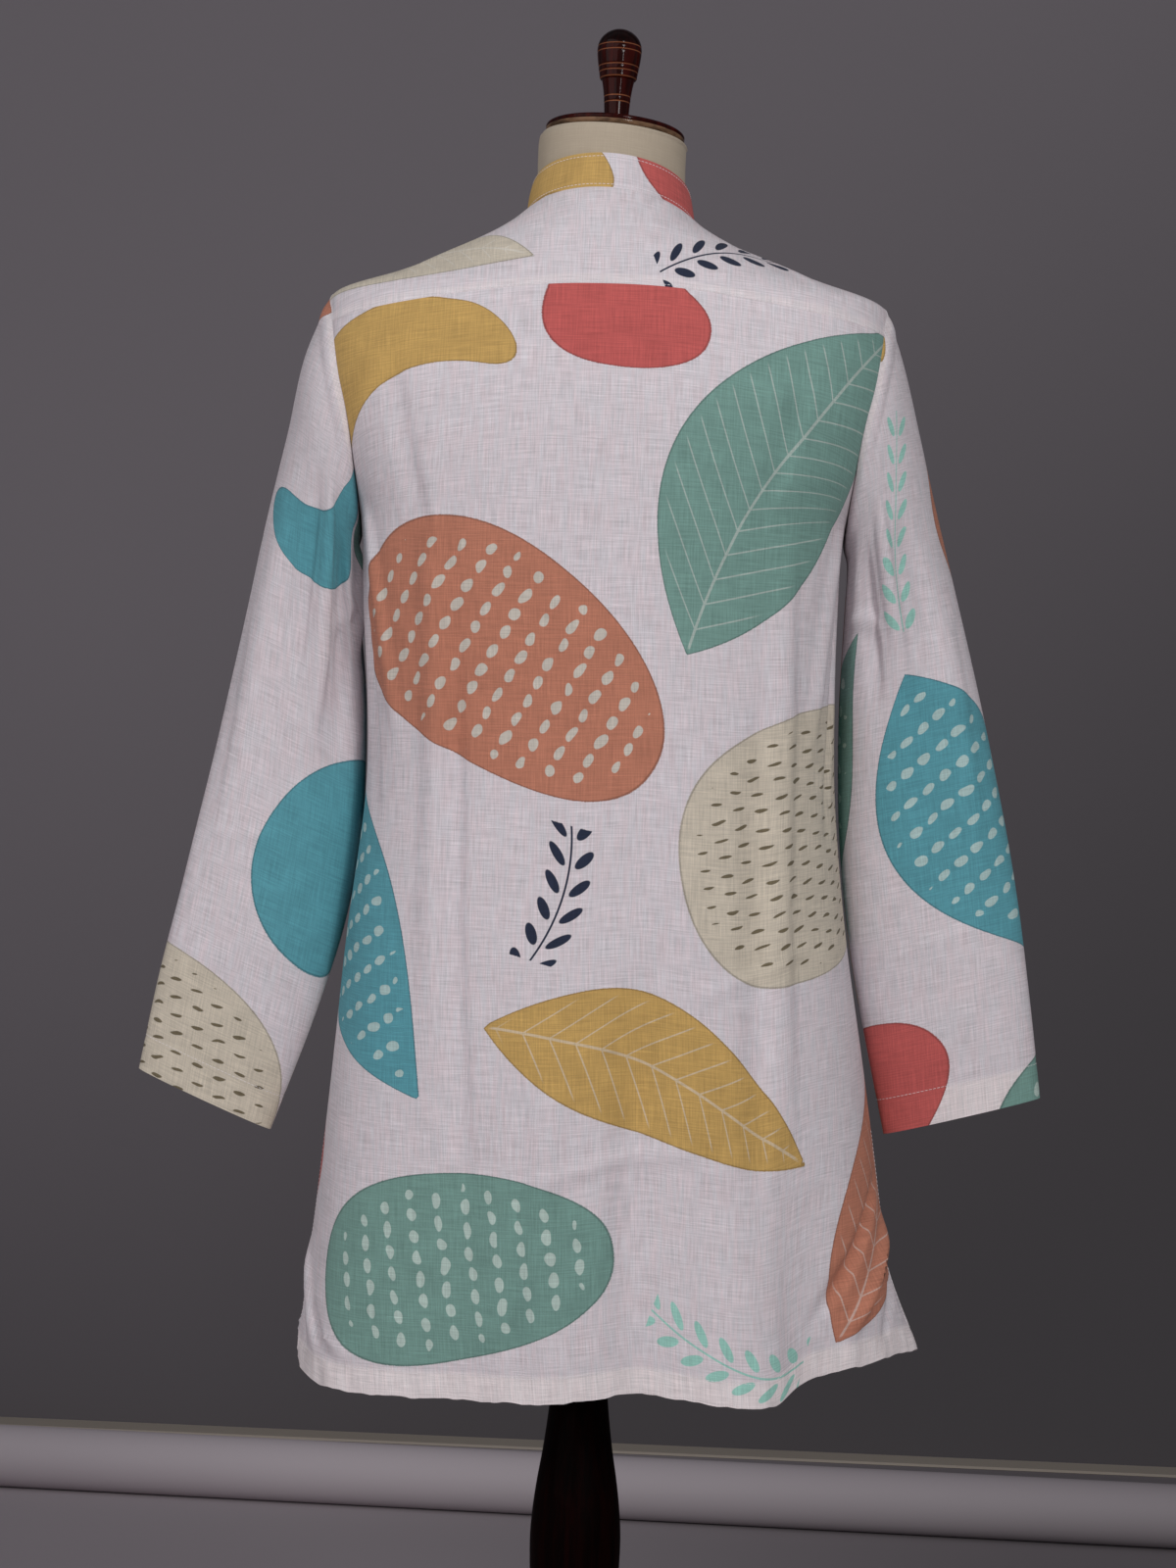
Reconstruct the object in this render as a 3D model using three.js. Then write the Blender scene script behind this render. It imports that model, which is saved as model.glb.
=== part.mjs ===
// A long-sleeved kurta worn by a limbless dress form on a turned wooden stand.
// Millimetres, plus Z up. The wearer faces minus Y and the wearer's left is plus X.
// The origin is the middle of the underside of the stand's base.
import * as THREE from 'three';

// Cloth and seams
const CLOTH = 1.6;
const COLLAR_CLOTH = 2.2;
const PLACKET_CLOTH = 1.4;
const SEAM_GAP = 0.3;
const SEAM_SLACK = 0.1;

// Heights that the cut is set out from
const HEM_HEIGHT = 548;
const SLIT_HEIGHT = 170;
const BACK_YOKE_MIDDLE = 1387;
const NECKLINE = 1450;

// The armhole, an oval seen from the side
const ARMHOLE = { middleY: -5, middleZ: 1302.5, halfDepth: 66, halfHeight: 88 };
const ARMHOLE_STEPS = 24;
const UNDERARM_STEP = 18;
const BACK_YOKE_STEP = 3;
const FRONT_YOKE_STEP = 8;
const YOKE_NECK_ANGLE = -24;

// How finely each piece is divided
const BACK_COLUMNS = 30;
const FRONT_COLUMNS = 22;
const SLIT_ROWS = 4;
const SKIRT_ROWS = 9;
const YOKE_ROWS = 6;
const SLEEVE_ROWS = 15;
const COLLAR_COLUMNS = 44;
const LINE_SAMPLES = 72;

// Front opening
const PLACKET_WIDTH = 30;
const PLACKET_SLIT = 3;
const PLACKET_HELD_BACK = 0.08;
const BUTTON_COUNT = 4;
const BUTTON_START = 14;
const BUTTON_PITCH = 62;

// Collar band
const COLLAR_HEIGHT = 26.5;
const COLLAR_LEAN = 4.4;
const COLLAR_END_GAP = 2.5;
const COLLAR_CORNER = 22;
const COLLAR_CORNER_DROP = 8;

// The worn body of the garment, one ring a row, from the hem to the neckline.
// tilt lifts the back of a ring and lowers its front. tip lifts the wearer's left and lowers the right.
const BODY = [
  { z: 500, half: 240, back: 134, front: 132, power: 2.2, midX: -15, midY: 0, tilt: 0, tip: 0 },
  { z: 550, half: 235, back: 134, front: 132, power: 2.2, midX: -14, midY: 0, tilt: 0, tip: 0 },
  { z: 620, half: 227, back: 132, front: 131, power: 2.2, midX: -12, midY: 0, tilt: 0, tip: 0 },
  { z: 700, half: 218, back: 129, front: 130, power: 2.2, midX: -11, midY: -1, tilt: 0, tip: 0 },
  { z: 800, half: 206, back: 126, front: 129, power: 2.25, midX: -8, midY: -2, tilt: 0, tip: 0 },
  { z: 900, half: 194, back: 123, front: 128, power: 2.3, midX: -4, midY: -4, tilt: 0, tip: 0 },
  { z: 1000, half: 183, back: 120, front: 128, power: 2.4, midX: -4, midY: -5, tilt: 0, tip: 0 },
  { z: 1060, half: 181.5, back: 119, front: 128, power: 2.5, midX: -3, midY: -5, tilt: 0, tip: 0 },
  { z: 1150, half: 184.5, back: 120, front: 130, power: 2.6, midX: 0, midY: -5, tilt: 0, tip: 0 },
  { z: 1214, half: 188, back: 121, front: 131, power: 2.8, midX: 0, midY: -5, tilt: 0, tip: 0 },
  { z: 1260, half: 201, back: 121, front: 131, power: 3.0, midX: 0, midY: -5, tilt: 0, tip: 0 },
  { z: 1300, half: 213, back: 120, front: 129, power: 3.0, midX: 0, midY: -5, tilt: 0, tip: 0 },
  { z: 1325, half: 219, back: 117, front: 127, power: 3.0, midX: 0, midY: -5, tilt: 0, tip: 0 },
  { z: 1350, half: 222, back: 113, front: 123, power: 2.8, midX: 0, midY: -5, tilt: 1, tip: 0 },
  { z: 1372, half: 220, back: 108, front: 117, power: 2.6, midX: 0, midY: -5, tilt: 4, tip: 0 },
  { z: 1391, half: 212, back: 102, front: 111, power: 2.4, midX: 0, midY: -5, tilt: 8, tip: 0 },
  { z: 1406, half: 168, back: 95, front: 103, power: 2.2, midX: 0, midY: -6, tilt: 11, tip: 0 },
  { z: 1424, half: 119, back: 86, front: 92, power: 2.05, midX: 0, midY: -7, tilt: 15, tip: 1.6 },
  { z: 1439, half: 84.5, back: 76, front: 79, power: 2.0, midX: 0, midY: -8, tilt: 19, tip: 3 },
  { z: 1450, half: 66, back: 66, front: 66, power: 2.0, midX: 0, midY: -8, tilt: 22.5, tip: 3.6 },
  { z: 1462, half: 40, back: 56, front: 53, power: 2.0, midX: 0, midY: -8, tilt: 24.5, tip: 4 },
];

// The hem's height round the body, from the wearer's left over the back
const HEM_LINE = [
  { angle: 0, z: 570 },
  { angle: 8, z: 558 },
  { angle: 23, z: 549 },
  { angle: 50, z: 548 },
  { angle: 76, z: 549 },
  { angle: 104, z: 557 },
  { angle: 120, z: 552 },
  { angle: 134, z: 548 },
  { angle: 143, z: 555 },
  { angle: 151, z: 568 },
  { angle: 165, z: 579 },
  { angle: 180, z: 583 },
  { angle: 200, z: 560 },
  { angle: 232, z: 547 },
  { angle: 262, z: 553 },
  { angle: 293, z: 547 },
  { angle: 325, z: 550 },
  { angle: 348, z: 558 },
  { angle: 360, z: 570 },
];

// Hanging folds of the skirt. angle and spread are degrees round the body, from the wearer's
// left over the back, a fold starts at top and is deepest at the hem, and depth below 0 is a trough.
const BODY_FOLDS = [
  { side: 'back', angle: 23, spread: 13, top: 900, depth: 6 },
  { side: 'back', angle: 47, spread: 15, top: 1080, depth: -7 },
  { side: 'back', angle: 76, spread: 14, top: 960, depth: 7 },
  { side: 'back', angle: 104, spread: 15, top: 980, depth: -11 },
  { side: 'back', angle: 133, spread: 12, top: 860, depth: 8 },
  { side: 'back', angle: 150, spread: 11, top: 800, depth: -12 },
  { side: 'back', angle: 177, spread: 17, top: 655, depth: 14 },
  { side: 'front', angle: 205, spread: 14, top: 860, depth: -7 },
  { side: 'front', angle: 232, spread: 15, top: 980, depth: 8 },
  { side: 'front', angle: 262, spread: 16, top: 1000, depth: -9 },
  { side: 'front', angle: 293, spread: 15, top: 940, depth: 8 },
  { side: 'front', angle: 325, spread: 15, top: 1040, depth: -8 },
];

// Stations down each sleeve from the armhole to the cuff, X measured outwards from the middle
const LEFT_SLEEVE = [
  { outerX: 235, outerZ: 1343, innerX: 190.5, innerZ: 1190, halfDepth: 65, midY: -8 },
  { outerX: 247, outerZ: 1283, innerX: 188.5, innerZ: 1158, halfDepth: 62, midY: -13 },
  { outerX: 261.5, outerZ: 1221, innerX: 185.5, innerZ: 1120, halfDepth: 57, midY: -19 },
  { outerX: 274, outerZ: 1160, innerX: 182, innerZ: 1082, halfDepth: 52, midY: -23 },
  { outerX: 288, outerZ: 1088, innerX: 180.5, innerZ: 1032, halfDepth: 46, midY: -24 },
  { outerX: 304, outerZ: 1008, innerX: 182, innerZ: 972, halfDepth: 39, midY: -22 },
  { outerX: 321, outerZ: 930, innerX: 193, innerZ: 901, halfDepth: 32, midY: -18 },
  { outerX: 337, outerZ: 860, innerX: 214, innerZ: 829, halfDepth: 26, midY: -15 },
  { outerX: 351, outerZ: 783, innerX: 246.5, innerZ: 738, halfDepth: 20, midY: -14 },
];
const RIGHT_SLEEVE = [
  { outerX: 230, outerZ: 1350, innerX: 191.5, innerZ: 1190, halfDepth: 65, midY: -8 },
  { outerX: 247, outerZ: 1288, innerX: 191, innerZ: 1158, halfDepth: 62, midY: -13 },
  { outerX: 263, outerZ: 1226, innerX: 190, innerZ: 1122, halfDepth: 57, midY: -19 },
  { outerX: 280, outerZ: 1163, innerX: 189, innerZ: 1084, halfDepth: 52, midY: -23 },
  { outerX: 299, outerZ: 1088, innerX: 189.5, innerZ: 1034, halfDepth: 46, midY: -24 },
  { outerX: 317, outerZ: 1010, innerX: 192, innerZ: 974, halfDepth: 39, midY: -22 },
  { outerX: 332, outerZ: 935, innerX: 200, innerZ: 904, halfDepth: 32, midY: -18 },
  { outerX: 343, outerZ: 862, innerX: 213, innerZ: 834, halfDepth: 26, midY: -15 },
  { outerX: 354, outerZ: 779, innerX: 232, innerZ: 747.5, halfDepth: 20, midY: -14 },
];
const SLEEVE_POWER = 2.3;

// Long folds of the sleeves. turn is degrees round the tube from the back over the outside,
// from and to are stations, and depth below 0 is a trough.
const LEFT_SLEEVE_FOLDS = [
  { turn: 322, spread: 26, from: 0.6, to: 6.5, depth: -9 },
  { turn: 20, spread: 24, from: 1.5, to: 7.5, depth: -5 },
  { turn: 196, spread: 26, from: 1, to: 7, depth: -8 },
];
const RIGHT_SLEEVE_FOLDS = [
  { turn: 330, spread: 24, from: 0.6, to: 5, depth: -8 },
  { turn: 15, spread: 26, from: 3, to: 8.4, depth: -5 },
  { turn: 190, spread: 26, from: 1, to: 7, depth: -8 },
];

// Room between the cloth and the form at each height, least along the shoulder line
const FORM_SIDE_ROOM = 2.4;
const FORM_EASE = [
  { z: 780, room: 34 },
  { z: 850, room: 30 },
  { z: 950, room: 22 },
  { z: 1080, room: 30 },
  { z: 1180, room: 18 },
  { z: 1260, room: 14 },
  { z: 1320, room: 13 },
  { z: 1350, room: 13 },
  { z: 1372, room: 11 },
  { z: 1391, room: 6 },
  { z: 1404, room: 2 },
  { z: 1416, room: 0.8 },
  { z: 1452, room: 0.8 },
];
const FORM_LEVELS = [
  812, 850, 890, 930, 970, 1010, 1050, 1090, 1130, 1170, 1210, 1250, 1285, 1315, 1340, 1360, 1375,
  1387, 1397, 1407, 1417, 1428, 1440, 1452,
];
const FORM_SIDES = 30;
const FORM_BOTTOM = [
  { z: 788, inset: 14 },
  { z: 794, inset: 3 },
];
// The top of the neck is tipped forward and to the wearer's right
const FORM_NECK = [
  { z: 1452, radius: 61.5, midX: 0, tilt: 22, tip: 3.6 },
  { z: 1459, radius: 59.2, midX: 0.2, tilt: 19, tip: 3.6 },
  { z: 1478, radius: 57.8, midX: 0.6, tilt: 13, tip: 3.6 },
  { z: 1500, radius: 57.6, midX: 0.8, tilt: 9, tip: 3.6 },
  { z: 1514, radius: 57.2, midX: 0.2, tilt: 6.6, tip: 3.7 },
  { z: 1517, radius: 55, midX: -0.9, tilt: 6.2, tip: 3.8 },
];
const NECK_MIDDLE_Y = -8;

// Turned wood, as radius and height above each piece's own foot
const CAP_PROFILE = [
  [0, 0],
  [52.5, 0],
  [54, 1.4],
  [54.4, 4.6],
  [54, 7],
  [51.8, 8.2],
  [30, 8.9],
  [0, 9.2],
];
const CAP_HEIGHT = 9.2;
// How far the finial's foot stands over the cap's middle, and how far it is tipped to the wearer's right
const FINIAL_SEAT = 1.1;
const FINIAL_TIP = 1.2;
const FINIAL_PROFILE = [
  [0, 0],
  [9.4, 0],
  [9.7, 12],
  [10.4, 22],
  [12.4, 36],
  [13.2, 38],
  [14.6, 40.7],
  [15.9, 48],
  [16.9, 55],
  [17.4, 62],
  [16.6, 67],
  [14.6, 71.2],
  [10.5, 75.3],
  [5.5, 77.9],
  [0, 78.6],
];
const COLUMN_PROFILE = [
  [0, 0],
  [38, 0],
  [38, 9],
  [30, 17],
  [24, 34],
  [19, 62],
  [25, 104],
  [27, 150],
  [23.5, 196],
  [17.5, 226],
  [24, 238],
  [17.5, 250],
  [20, 272],
  [28, 304],
  [33.5, 340],
  [35.3, 379],
  [34.2, 400],
  [31.2, 425],
  [27, 451],
  [23, 484],
  [20.5, 520],
  [19, 600],
  [20, 741.4],
  [0, 741.4],
];
const BASE_PROFILE = [
  [0, 0],
  [176, 0],
  [180, 4],
  [180, 15],
  [173, 21],
  [150, 26],
  [104, 31],
  [60, 40],
  [48, 46],
  [0, 46],
];
const BASE_HEIGHT = 46;
const BUTTON_PROFILE = [
  [0, 0],
  [5.3, 0],
  [5.7, 1.5],
  [4.7, 2.5],
  [3.6, 1.9],
  [0, 1.9],
];

const toRadians = THREE.MathUtils.degToRad;
const mix = THREE.MathUtils.lerp;
const clamp = THREE.MathUtils.clamp;

// Table readings

// A row of a table at any height, with each column smooth through the rows given
function rowAt(table, key, value) {
  const last = table.length - 1;
  const at = clamp(value, table[0][key], table[last][key]);
  const low = clamp(table.findIndex((row) => row[key] >= at) - 1, 0, last - 1);
  const gap = table[low + 1][key] - table[low][key];
  const t = (at - table[low][key]) / gap;
  const row = {};
  for (const column of Object.keys(table[low])) {
    const slopeAt = (i) => {
      const before = table[Math.max(i - 1, 0)];
      const after = table[Math.min(i + 1, last)];
      return (after[column] - before[column]) / (after[key] - before[key]);
    };
    const start = table[low][column];
    const end = table[low + 1][column];
    const rise = t * t * (3 - 2 * t);
    const leave = t * (1 - t) * (1 - t) * gap * slopeAt(low);
    const arrive = t * t * (1 - t) * gap * slopeAt(low + 1);
    row[column] = start + (end - start) * rise + leave - arrive;
  }
  return row;
}

// A soft hump, 1 at the middle and 0 from one spread away
function hump(distance, spread) {
  const share = clamp(Math.abs(distance) / spread, 0, 1);
  return (1 - share * share) ** 2;
}

// The garment's body as a surface of angle and height

function foldReach(side, angle, level) {
  const degrees = THREE.MathUtils.radToDeg(angle);
  let reach = 0;
  for (const fold of BODY_FOLDS) {
    if (fold.side === side) {
      const grown = clamp((fold.top - level) / (fold.top - HEM_HEIGHT), 0, 1) ** 1.5;
      const away = THREE.MathUtils.euclideanModulo(degrees - fold.angle + 180, 360) - 180;
      reach += fold.depth * grown * hump(away, fold.spread);
    }
  }
  return reach;
}

function bodyPoint(side, angle, level) {
  const ring = rowAt(BODY, 'z', level);
  const across = Math.cos(angle);
  const back = Math.sin(angle);
  const depth = back >= 0 ? ring.back : ring.front;
  const sum = Math.abs(across / ring.half) ** ring.power + Math.abs(back / depth) ** ring.power;
  const reach = sum ** (-1 / ring.power) + foldReach(side, angle, level);
  const x = ring.midX + reach * across;
  const y = ring.midY + reach * back;
  return new THREE.Vector3(x, y, level + ring.tilt * back + ring.tip * across);
}

function bodyNormal(side, angle, level) {
  const turn = 0.004;
  const rise = 0.8;
  const along = bodyPoint(side, angle + turn, level).sub(bodyPoint(side, angle - turn, level));
  const up = bodyPoint(side, angle, level + rise).sub(bodyPoint(side, angle, level - rise));
  return along.cross(up).normalize();
}

// A place on the wall, with its outer and inner points
function wallPlace(side, { angle, level }, thickness) {
  const outer = bodyPoint(side, angle, level);
  const normal = bodyNormal(side, angle, level);
  return { outer, inner: outer.clone().addScaledVector(normal, -thickness), normal };
}

// The armhole's place on the body at a step round it, on the wearer's left
function armholePlace(step) {
  const turn = (step / ARMHOLE_STEPS) * 2 * Math.PI;
  const away = ARMHOLE.halfDepth * Math.cos(turn);
  const z = ARMHOLE.middleZ + ARMHOLE.halfHeight * Math.sin(turn);
  let level = z;
  let angle = 0;
  for (let pass = 0; pass < 12; pass += 1) {
    const ring = rowAt(BODY, 'z', level);
    const depth = away >= 0 ? ring.back : ring.front;
    const x = ring.half * (1 - Math.abs(away / depth) ** ring.power) ** (1 / ring.power);
    angle = Math.atan2(away, x);
    level = z - ring.tilt * Math.sin(angle);
  }
  return { angle, level };
}

function mirrored({ angle, level }) {
  return { angle: Math.PI - angle, level };
}

// Places along a line on the body that placeAt gives for 0 to 1. sharesOf tells, for the
// line's length, how far along it each place is.
function spacedPlaces(side, placeAt, sharesOf) {
  const places = Array.from({ length: LINE_SAMPLES + 1 }, (_, i) => placeAt(i / LINE_SAMPLES));
  const points = places.map(({ angle, level }) => bodyPoint(side, angle, level));
  const lengths = [0];
  for (let i = 1; i <= LINE_SAMPLES; i += 1) {
    lengths.push(lengths[i - 1] + points[i].distanceTo(points[i - 1]));
  }
  const total = lengths[LINE_SAMPLES];
  return sharesOf(total).map((share) => {
    const reached = share * total;
    const next = clamp(lengths.findIndex((length) => length >= reached), 1, LINE_SAMPLES);
    const t = (reached - lengths[next - 1]) / (lengths[next] - lengths[next - 1]);
    const angle = mix(places[next - 1].angle, places[next].angle, t);
    return { angle, level: mix(places[next - 1].level, places[next].level, t) };
  });
}

const evenShares = (columns) => () => Array.from({ length: columns + 1 }, (_, i) => i / columns);

// The front's columns keep the placket's edges and the slit's edges as straight lines
function frontShares(length) {
  const half = FRONT_COLUMNS / 2;
  const placketEdge = PLACKET_WIDTH / 2 / length;
  const slitEdge = PLACKET_SLIT / 2 / length;
  const shares = [];
  for (let i = 0; i < half; i += 1) {
    shares.push((i / (half - 1)) * (0.5 - placketEdge));
  }
  shares.push(0.5 - slitEdge);
  return [...shares, ...shares.map((share) => 1 - share).reverse()];
}

// Closed walls from a grid of outer and inner points

// Cells that keep() leaves out are open, and every free edge gets a rim
function wallGeometry(grid, { wrap = false, flip = false, keep = () => true } = {}) {
  const rows = grid.length - 1;
  const width = grid[0].length;
  const columns = wrap ? width : width - 1;
  const positions = [];
  for (const face of ['outer', 'inner']) {
    for (const row of grid) {
      for (const place of row) {
        positions.push(...place[face].toArray());
      }
    }
  }
  const outer = (r, c) => r * width + (c % width);
  const inner = (r, c) => grid.length * width + outer(r, c);
  const index = [];
  const push = (a, b, c) => index.push(a, flip ? c : b, flip ? b : c);
  const quad = (a, b, c, d, turned) => {
    push(a, b, turned ? d : c);
    push(turned ? b : a, c, d);
  };
  const has = (r, c) => {
    const column = wrap ? (c + columns) % columns : c;
    return r >= 0 && r < rows && column >= 0 && column < columns && keep(r, column);
  };
  const rim = (r1, c1, r2, c2) => quad(outer(r2, c2), outer(r1, c1), inner(r1, c1), inner(r2, c2));
  for (let r = 0; r < rows; r += 1) {
    for (let c = 0; c < columns; c += 1) {
      if (has(r, c)) {
        const next = (c + 1) % width;
        const rising = grid[r][c].outer.distanceTo(grid[r + 1][next].outer);
        const falling = grid[r][next].outer.distanceTo(grid[r + 1][c].outer);
        quad(outer(r, c), outer(r, c + 1), outer(r + 1, c + 1), outer(r + 1, c), falling < rising);
        quad(inner(r + 1, c), inner(r + 1, c + 1), inner(r, c + 1), inner(r, c), falling >= rising);
        if (!has(r - 1, c)) rim(r, c, r, c + 1);
        if (!has(r, c + 1)) rim(r, c + 1, r + 1, c + 1);
        if (!has(r + 1, c)) rim(r + 1, c + 1, r + 1, c);
        if (!has(r, c - 1)) rim(r + 1, c, r, c);
      }
    }
  }
  const geometry = new THREE.BufferGeometry();
  geometry.setAttribute('position', new THREE.Float32BufferAttribute(positions, 3));
  geometry.setIndex(index);
  geometry.computeVertexNormals();
  return geometry;
}

// Moves each place of a grid by the same step
function shiftGrid(grid, step) {
  for (const row of grid) {
    for (const place of row) {
      place.outer.add(step);
      place.inner.add(step);
    }
  }
  return grid;
}

// Back and front panels

// Shares of the way from the hem to the underarm, with one at the top of the slit
function skirtShares() {
  const slitShare = SLIT_HEIGHT / (UNDERARM.level - HEM_HEIGHT);
  const shares = [];
  for (let i = 0; i < SLIT_ROWS; i += 1) {
    shares.push((i / SLIT_ROWS) * slitShare);
  }
  for (let i = 0; i <= SKIRT_ROWS; i += 1) {
    shares.push(mix(slitShare, 1, i / SKIRT_ROWS));
  }
  return shares;
}

// A row of the skirt follows the hem line below and is level at the underarm
function skirtRow(side, startAngle, share, sharesOf) {
  const placeAt = (u) => {
    const angle = startAngle + u * Math.PI;
    const hem = rowAt(HEM_LINE, 'angle', THREE.MathUtils.radToDeg(angle)).z;
    return { angle, level: mix(hem, UNDERARM.level, share) };
  };
  return spacedPlaces(side, placeAt, sharesOf);
}

// A row between two edges leaves their heights and holds middleLevel between them
function chestRow(side, start, end, middleLevel, sharesOf) {
  const placeAt = (u) => {
    const crown = 1 - Math.abs(2 * u - 1) ** 3;
    const level = mix(mix(start.level, end.level, u), middleLevel, crown);
    return { angle: mix(start.angle, end.angle, u), level };
  };
  return spacedPlaces(side, placeAt, sharesOf);
}

const UNDERARM = armholePlace(UNDERARM_STEP);

function backRows() {
  const shares = evenShares(BACK_COLUMNS);
  const rows = skirtShares().map((share) => skirtRow('back', 0, share, shares));
  const steps = ARMHOLE_STEPS + BACK_YOKE_STEP - UNDERARM_STEP;
  for (let i = 1; i <= steps; i += 1) {
    const left = armholePlace(UNDERARM_STEP + i);
    const middle = mix(UNDERARM.level, BACK_YOKE_MIDDLE, i / steps);
    rows.push(chestRow('back', left, mirrored(left), middle, shares));
  }
  return rows;
}

// A line over the shoulder from a place on the yoke's outer edge to the neckline
function shoulderLine(place, neckAngle) {
  const placeAt = (u) => {
    return { angle: mix(place.angle, neckAngle, u), level: mix(place.level, NECKLINE, u) };
  };
  return spacedPlaces('yoke', placeAt, evenShares(YOKE_ROWS));
}

// The front runs from the wearer's right to the left, so its angles rise as the back's do
function frontRows() {
  const rows = skirtShares().map((share) => skirtRow('front', Math.PI, share, frontShares));
  const steps = UNDERARM_STEP - FRONT_YOKE_STEP;
  const seam = shoulderLine(armholePlace(FRONT_YOKE_STEP), toRadians(YOKE_NECK_ANGLE));
  const seamStart = seam[0].level;
  const edges = [];
  for (let i = 1; i <= steps; i += 1) {
    const left = armholePlace(UNDERARM_STEP - i);
    edges.push({ left, middle: mix(UNDERARM.level, seamStart, i / steps) });
  }
  edges.push(...seam.slice(1).map((left) => ({ left, middle: left.level })));
  for (const { left, middle } of edges) {
    const end = { angle: left.angle + 2 * Math.PI, level: left.level };
    rows.push(chestRow('front', mirrored(left), end, middle, frontShares));
  }
  return rows;
}

function wallGrid(side, rows, thickness) {
  return rows.map((row) => row.map((place) => wallPlace(side, place, thickness)));
}

const BACK_ROWS = backRows();
const FRONT_ROWS = frontRows();
const FRONT_GRID = shiftGrid(
  wallGrid('front', FRONT_ROWS, CLOTH),
  new THREE.Vector3(0, -SEAM_GAP / 2, 0),
);
// The placket starts one row below the underarm's
const PLACKET_ROW = SLIT_ROWS + SKIRT_ROWS - 1;

function backPanel() {
  const grid = wallGrid('back', BACK_ROWS, CLOTH);
  return wallGeometry(shiftGrid(grid, new THREE.Vector3(0, SEAM_GAP / 2, 0)));
}

function frontPanel() {
  const slitColumn = FRONT_COLUMNS / 2;
  const keep = (row, column) => row <= PLACKET_ROW || column !== slitColumn;
  return wallGeometry(FRONT_GRID, { keep });
}

// Yoke, as spokes from its outer edge up to the neckline

function yokeEdge() {
  const edge = [];
  for (let step = FRONT_YOKE_STEP; step > BACK_YOKE_STEP; step -= 1) {
    edge.push(armholePlace(step));
  }
  const rightArm = edge.map(mirrored).reverse();
  return [...edge, ...BACK_ROWS[BACK_ROWS.length - 1], ...rightArm];
}

function yoke() {
  const edge = yokeEdge();
  const last = edge.length - 1;
  const neckStart = toRadians(YOKE_NECK_ANGLE);
  const lines = edge.map((place, i) => shoulderLine(place, mix(neckStart, Math.PI - neckStart, i / last)));
  const rows = lines[0].map((_, r) => lines.map((line) => line[r]));
  const grid = wallGrid('yoke', rows, CLOTH);
  // The outer edge is drawn back from the seam, and the front edges move back from theirs
  grid[0].forEach((place, i) => {
    const pull = grid[1][i].outer.clone().sub(place.outer).setLength(SEAM_GAP + SEAM_SLACK);
    place.outer.add(pull);
    place.inner.add(pull);
  });
  for (const row of grid) {
    for (const place of [row[0], row[last]]) {
      place.outer.y += SEAM_GAP;
      place.inner.y += SEAM_GAP;
    }
  }
  return wallGeometry(grid);
}

// Sleeves

function sleeveRing(station, folds, position) {
  const outer = new THREE.Vector3(station.outerX, station.midY, station.outerZ);
  const inner = new THREE.Vector3(station.innerX, station.midY, station.innerZ);
  const middle = outer.clone().lerp(inner, 0.5);
  const half = outer.clone().sub(middle);
  const ring = [];
  for (let step = 0; step < ARMHOLE_STEPS; step += 1) {
    const turn = (step / ARMHOLE_STEPS) * 2 * Math.PI;
    const across = Math.sin(turn);
    const back = Math.cos(turn);
    const sum = Math.abs(across) ** SLEEVE_POWER + Math.abs(back) ** SLEEVE_POWER;
    const reach = sum ** (-1 / SLEEVE_POWER);
    const point = middle.clone().addScaledVector(half, across * reach);
    point.y += back * reach * station.halfDepth;
    const toMiddle = middle.clone().sub(point).normalize();
    ring.push(point.addScaledVector(toMiddle, -sleeveFold(folds, turn, position)));
  }
  return ring;
}

function sleeveFold(folds, turn, position) {
  const degrees = THREE.MathUtils.radToDeg(turn);
  let reach = 0;
  for (const { turn: at, spread, from, to, depth } of folds) {
    const away = THREE.MathUtils.euclideanModulo(degrees - at + 180, 360) - 180;
    const middle = (from + to) / 2;
    reach += depth * hump(away, spread) * hump(position - middle, (to - from) / 2);
  }
  return reach;
}

// The armhole seam seen from the sleeve, in the same steps as every ring
function armholeRing() {
  const ring = [];
  for (let step = 0; step < ARMHOLE_STEPS; step += 1) {
    const { angle, level } = armholePlace(step);
    ring.push(bodyPoint('yoke', angle, level));
  }
  return ring;
}

function sleeve(stations, folds, mirror) {
  const rings = [armholeRing(), ...stations.map((s, i) => sleeveRing(s, folds, i + 1))];
  const lines = [];
  for (let step = 0; step < ARMHOLE_STEPS; step += 1) {
    const curve = new THREE.CatmullRomCurve3(rings.map((ring) => ring[step]));
    lines.push(Array.from({ length: SLEEVE_ROWS + 1 }, (_, i) => curve.getPoint(i / SLEEVE_ROWS)));
  }
  const pointAt = (r, step) => lines[(step + ARMHOLE_STEPS) % ARMHOLE_STEPS][clamp(r, 0, SLEEVE_ROWS)];
  const grid = [];
  for (let r = 0; r <= SLEEVE_ROWS; r += 1) {
    const row = [];
    for (let step = 0; step < ARMHOLE_STEPS; step += 1) {
      const around = pointAt(r, step + 1).clone().sub(pointAt(r, step - 1));
      const down = pointAt(r + 1, step).clone().sub(pointAt(r - 1, step));
      const normal = around.cross(down).normalize();
      const outer = pointAt(r, step).clone();
      const inner = outer.clone().addScaledVector(normal, -CLOTH);
      row.push({ outer, inner, normal });
    }
    grid.push(row);
  }
  // The seam edge stands off the armhole by the gap, past the panel's wall where it faces it
  for (const { outer, inner, normal } of grid[0]) {
    const out = SEAM_GAP + CLOTH * Math.max(0, normal.x);
    outer.x += out;
    inner.x += out;
  }
  if (mirror) {
    for (const row of grid) {
      for (const { outer, inner } of row) {
        outer.x *= -1;
        inner.x *= -1;
      }
    }
  }
  return wallGeometry(grid, { wrap: true, flip: mirror });
}

// Collar, placket and buttons

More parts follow.
